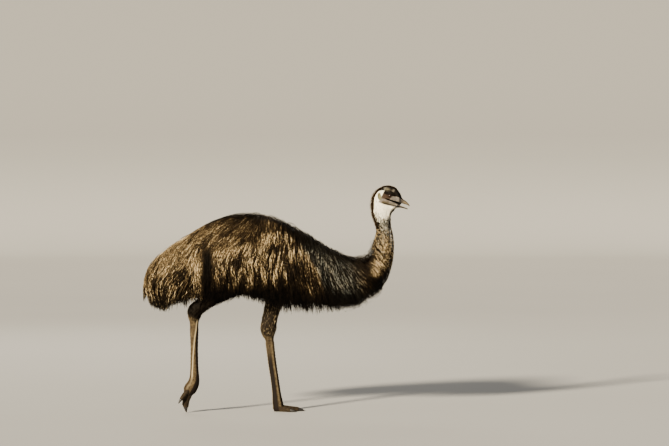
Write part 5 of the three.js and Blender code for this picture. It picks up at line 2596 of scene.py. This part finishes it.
@dataclass(frozen=True)
class Lamp:
    """Soft lamp; its softness is an angle in degrees for a sun and a width in metres otherwise."""

    name: str
    kind: LampKind
    place: Colour
    softness: float
    power: float
    colour: Colour

    def hang(self, target: Vector) -> Piece:
        """Hang the lamp.

        Args:
            target: Where it shines.

        Returns:
            The lamp.
        """
        lamp = bpy.data.lights.new(self.name, self.kind.value)
        lamp.energy, lamp.color = self.power, self.colour
        if self.kind is LampKind.SUN:
            lamp.angle = math.radians(self.softness)
        else:
            lamp.size = self.softness
        piece = placed(self.name, lamp)
        piece.location = self.place
        piece.rotation_euler = facing(self.place, target)
        return piece


@dataclass(frozen=True)
class Studio:
    """Pale floor, soft light and the camera, in metres."""

    distance: float = 18.0
    camera_height: float = 1.74
    aim: tuple[float, float] = (392.0, 1118.0)
    lens: float = 164.2
    far_clip: float = 100.0
    floor_rows: int = 180
    floor_start: float = -56.0
    floor_length: float = 90.0
    floor_half: float = 60.0
    curve_from: float = 20.0
    curve_depth: float = 6.0
    curve_rise: float = 0.06
    floor_colours: tuple[Colour, Colour] = ((0.47, 0.46, 0.43), (0.51, 0.5, 0.47))
    far_colour: Colour = (0.24, 0.235, 0.22)
    sky: Colour = (0.78, 0.82, 0.9)
    sky_strength: float = 0.24
    lit_height: float = 0.8
    lamps: tuple[Lamp, ...] = (
        Lamp("key", LampKind.SUN, (-5.0, -6.5, 4.2), 7.0, 11.7, (1.0, 0.88, 0.68)),
        Lamp("fill", LampKind.SQUARE, (5.5, -6.0, 3.2), 4.0, 80, (0.85, 0.92, 1.0)),
        Lamp("back", LampKind.SQUARE, (-2.0, 6.0, 4.5), 3.0, 150, (1.0, 0.93, 0.82)),
    )

    def floor(self) -> Piece:
        """Make a large pale floor that curves up behind.

        Returns:
            The floor.
        """
        bm = bmesh.new()
        bmesh.ops.create_grid(bm, x_segments=2, y_segments=self.floor_rows, size=1.0)
        for vert in bm.verts:
            run = (vert.co.y + 1) / 2 * self.floor_length + self.floor_start
            rise = max(0.0, run - self.curve_from)
            back = self.curve_from + self.curve_depth * math.tanh(rise / self.curve_depth)
            across = vert.co.x * self.floor_half
            vert.co = Vector((across, min(run, back), self.curve_rise * rise**2))
        mesh = bpy.data.meshes.new("studio_floor")
        bm.to_mesh(mesh)
        bm.free()
        far = mesh.attributes.new("far", "FLOAT", "POINT")
        heights = [float(smooth(vert.co.z, -0.4, 1.6)) for vert in mesh.vertices]
        far.data.foreach_set("value", heights)
        mesh.shade_smooth()
        painter = Painter("studio_floor")
        shade = painter.ramp(painter.noise(0.4), tuple(enumerate(self.floor_colours)))
        shade = painter.blend(painter.attribute("far"), shade, self.far_colour)
        mesh.materials.append(painter.finish(shade, 0.9, specular=0.1))
        return placed("studio_floor", mesh)

    def camera(self, frame: Frame) -> Piece:
        """Set the camera.

        Args:
            frame: The shared frame.

        Returns:
            The camera.
        """
        camera = bpy.data.cameras.new("camera")
        camera.lens, camera.clip_end = self.lens, self.far_clip
        piece = placed("camera", camera)
        target = Vector(frame.place(np.array([self.aim[0], 0.0, self.aim[1]])))
        piece.location = (target.x, -self.distance, self.camera_height)
        piece.rotation_euler = facing(piece.location, target)
        return piece

    def build(self, frame: Frame) -> None:
        """Set sky, floor, lamps and camera.

        Args:
            frame: The shared frame.
        """
        world = bpy.data.worlds.new("studio")
        world.use_nodes = True
        sky = world.node_tree.nodes["Background"]
        sky.inputs["Color"].default_value = (*self.sky, 1)
        sky.inputs["Strength"].default_value = self.sky_strength
        bpy.context.scene.world = world
        target = Vector((0, 0, self.lit_height))
        self.floor()
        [lamp.hang(target) for lamp in self.lamps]
        bpy.context.scene.camera = self.camera(frame)


def main() -> None:
    """Build the bird and its studio."""
    logging.basicConfig(level=logging.INFO, format="%(message)s")
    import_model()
    frame, outline, markings = Frame(), Outline(BODY_RIBS), Markings()
    pieces = [Skin(frame, outline, markings).build()]
    eye = Eye(frame)
    pieces += [eye.build(side) for side in Side]
    beak = BEAK_HORN.material()
    pieces += [half.build(frame, beak) for half in BILL_HALVES]
    claw = Claw(frame, CLAW_HORN.material())
    for side, toes in TOES.items():
        pieces += [claw.build(side, toe, pads, tip) for toe, (pads, tip) in toes.items()]
    coat = Coat(frame, outline, markings)
    pieces += coat.build()
    pieces += FineFeathers(coat).build()
    for piece in pieces:
        LOG.info("%s: %d faces", piece.name, len(piece.data.polygons))
    Studio().build(frame)


if __name__ == "__main__":
    main()
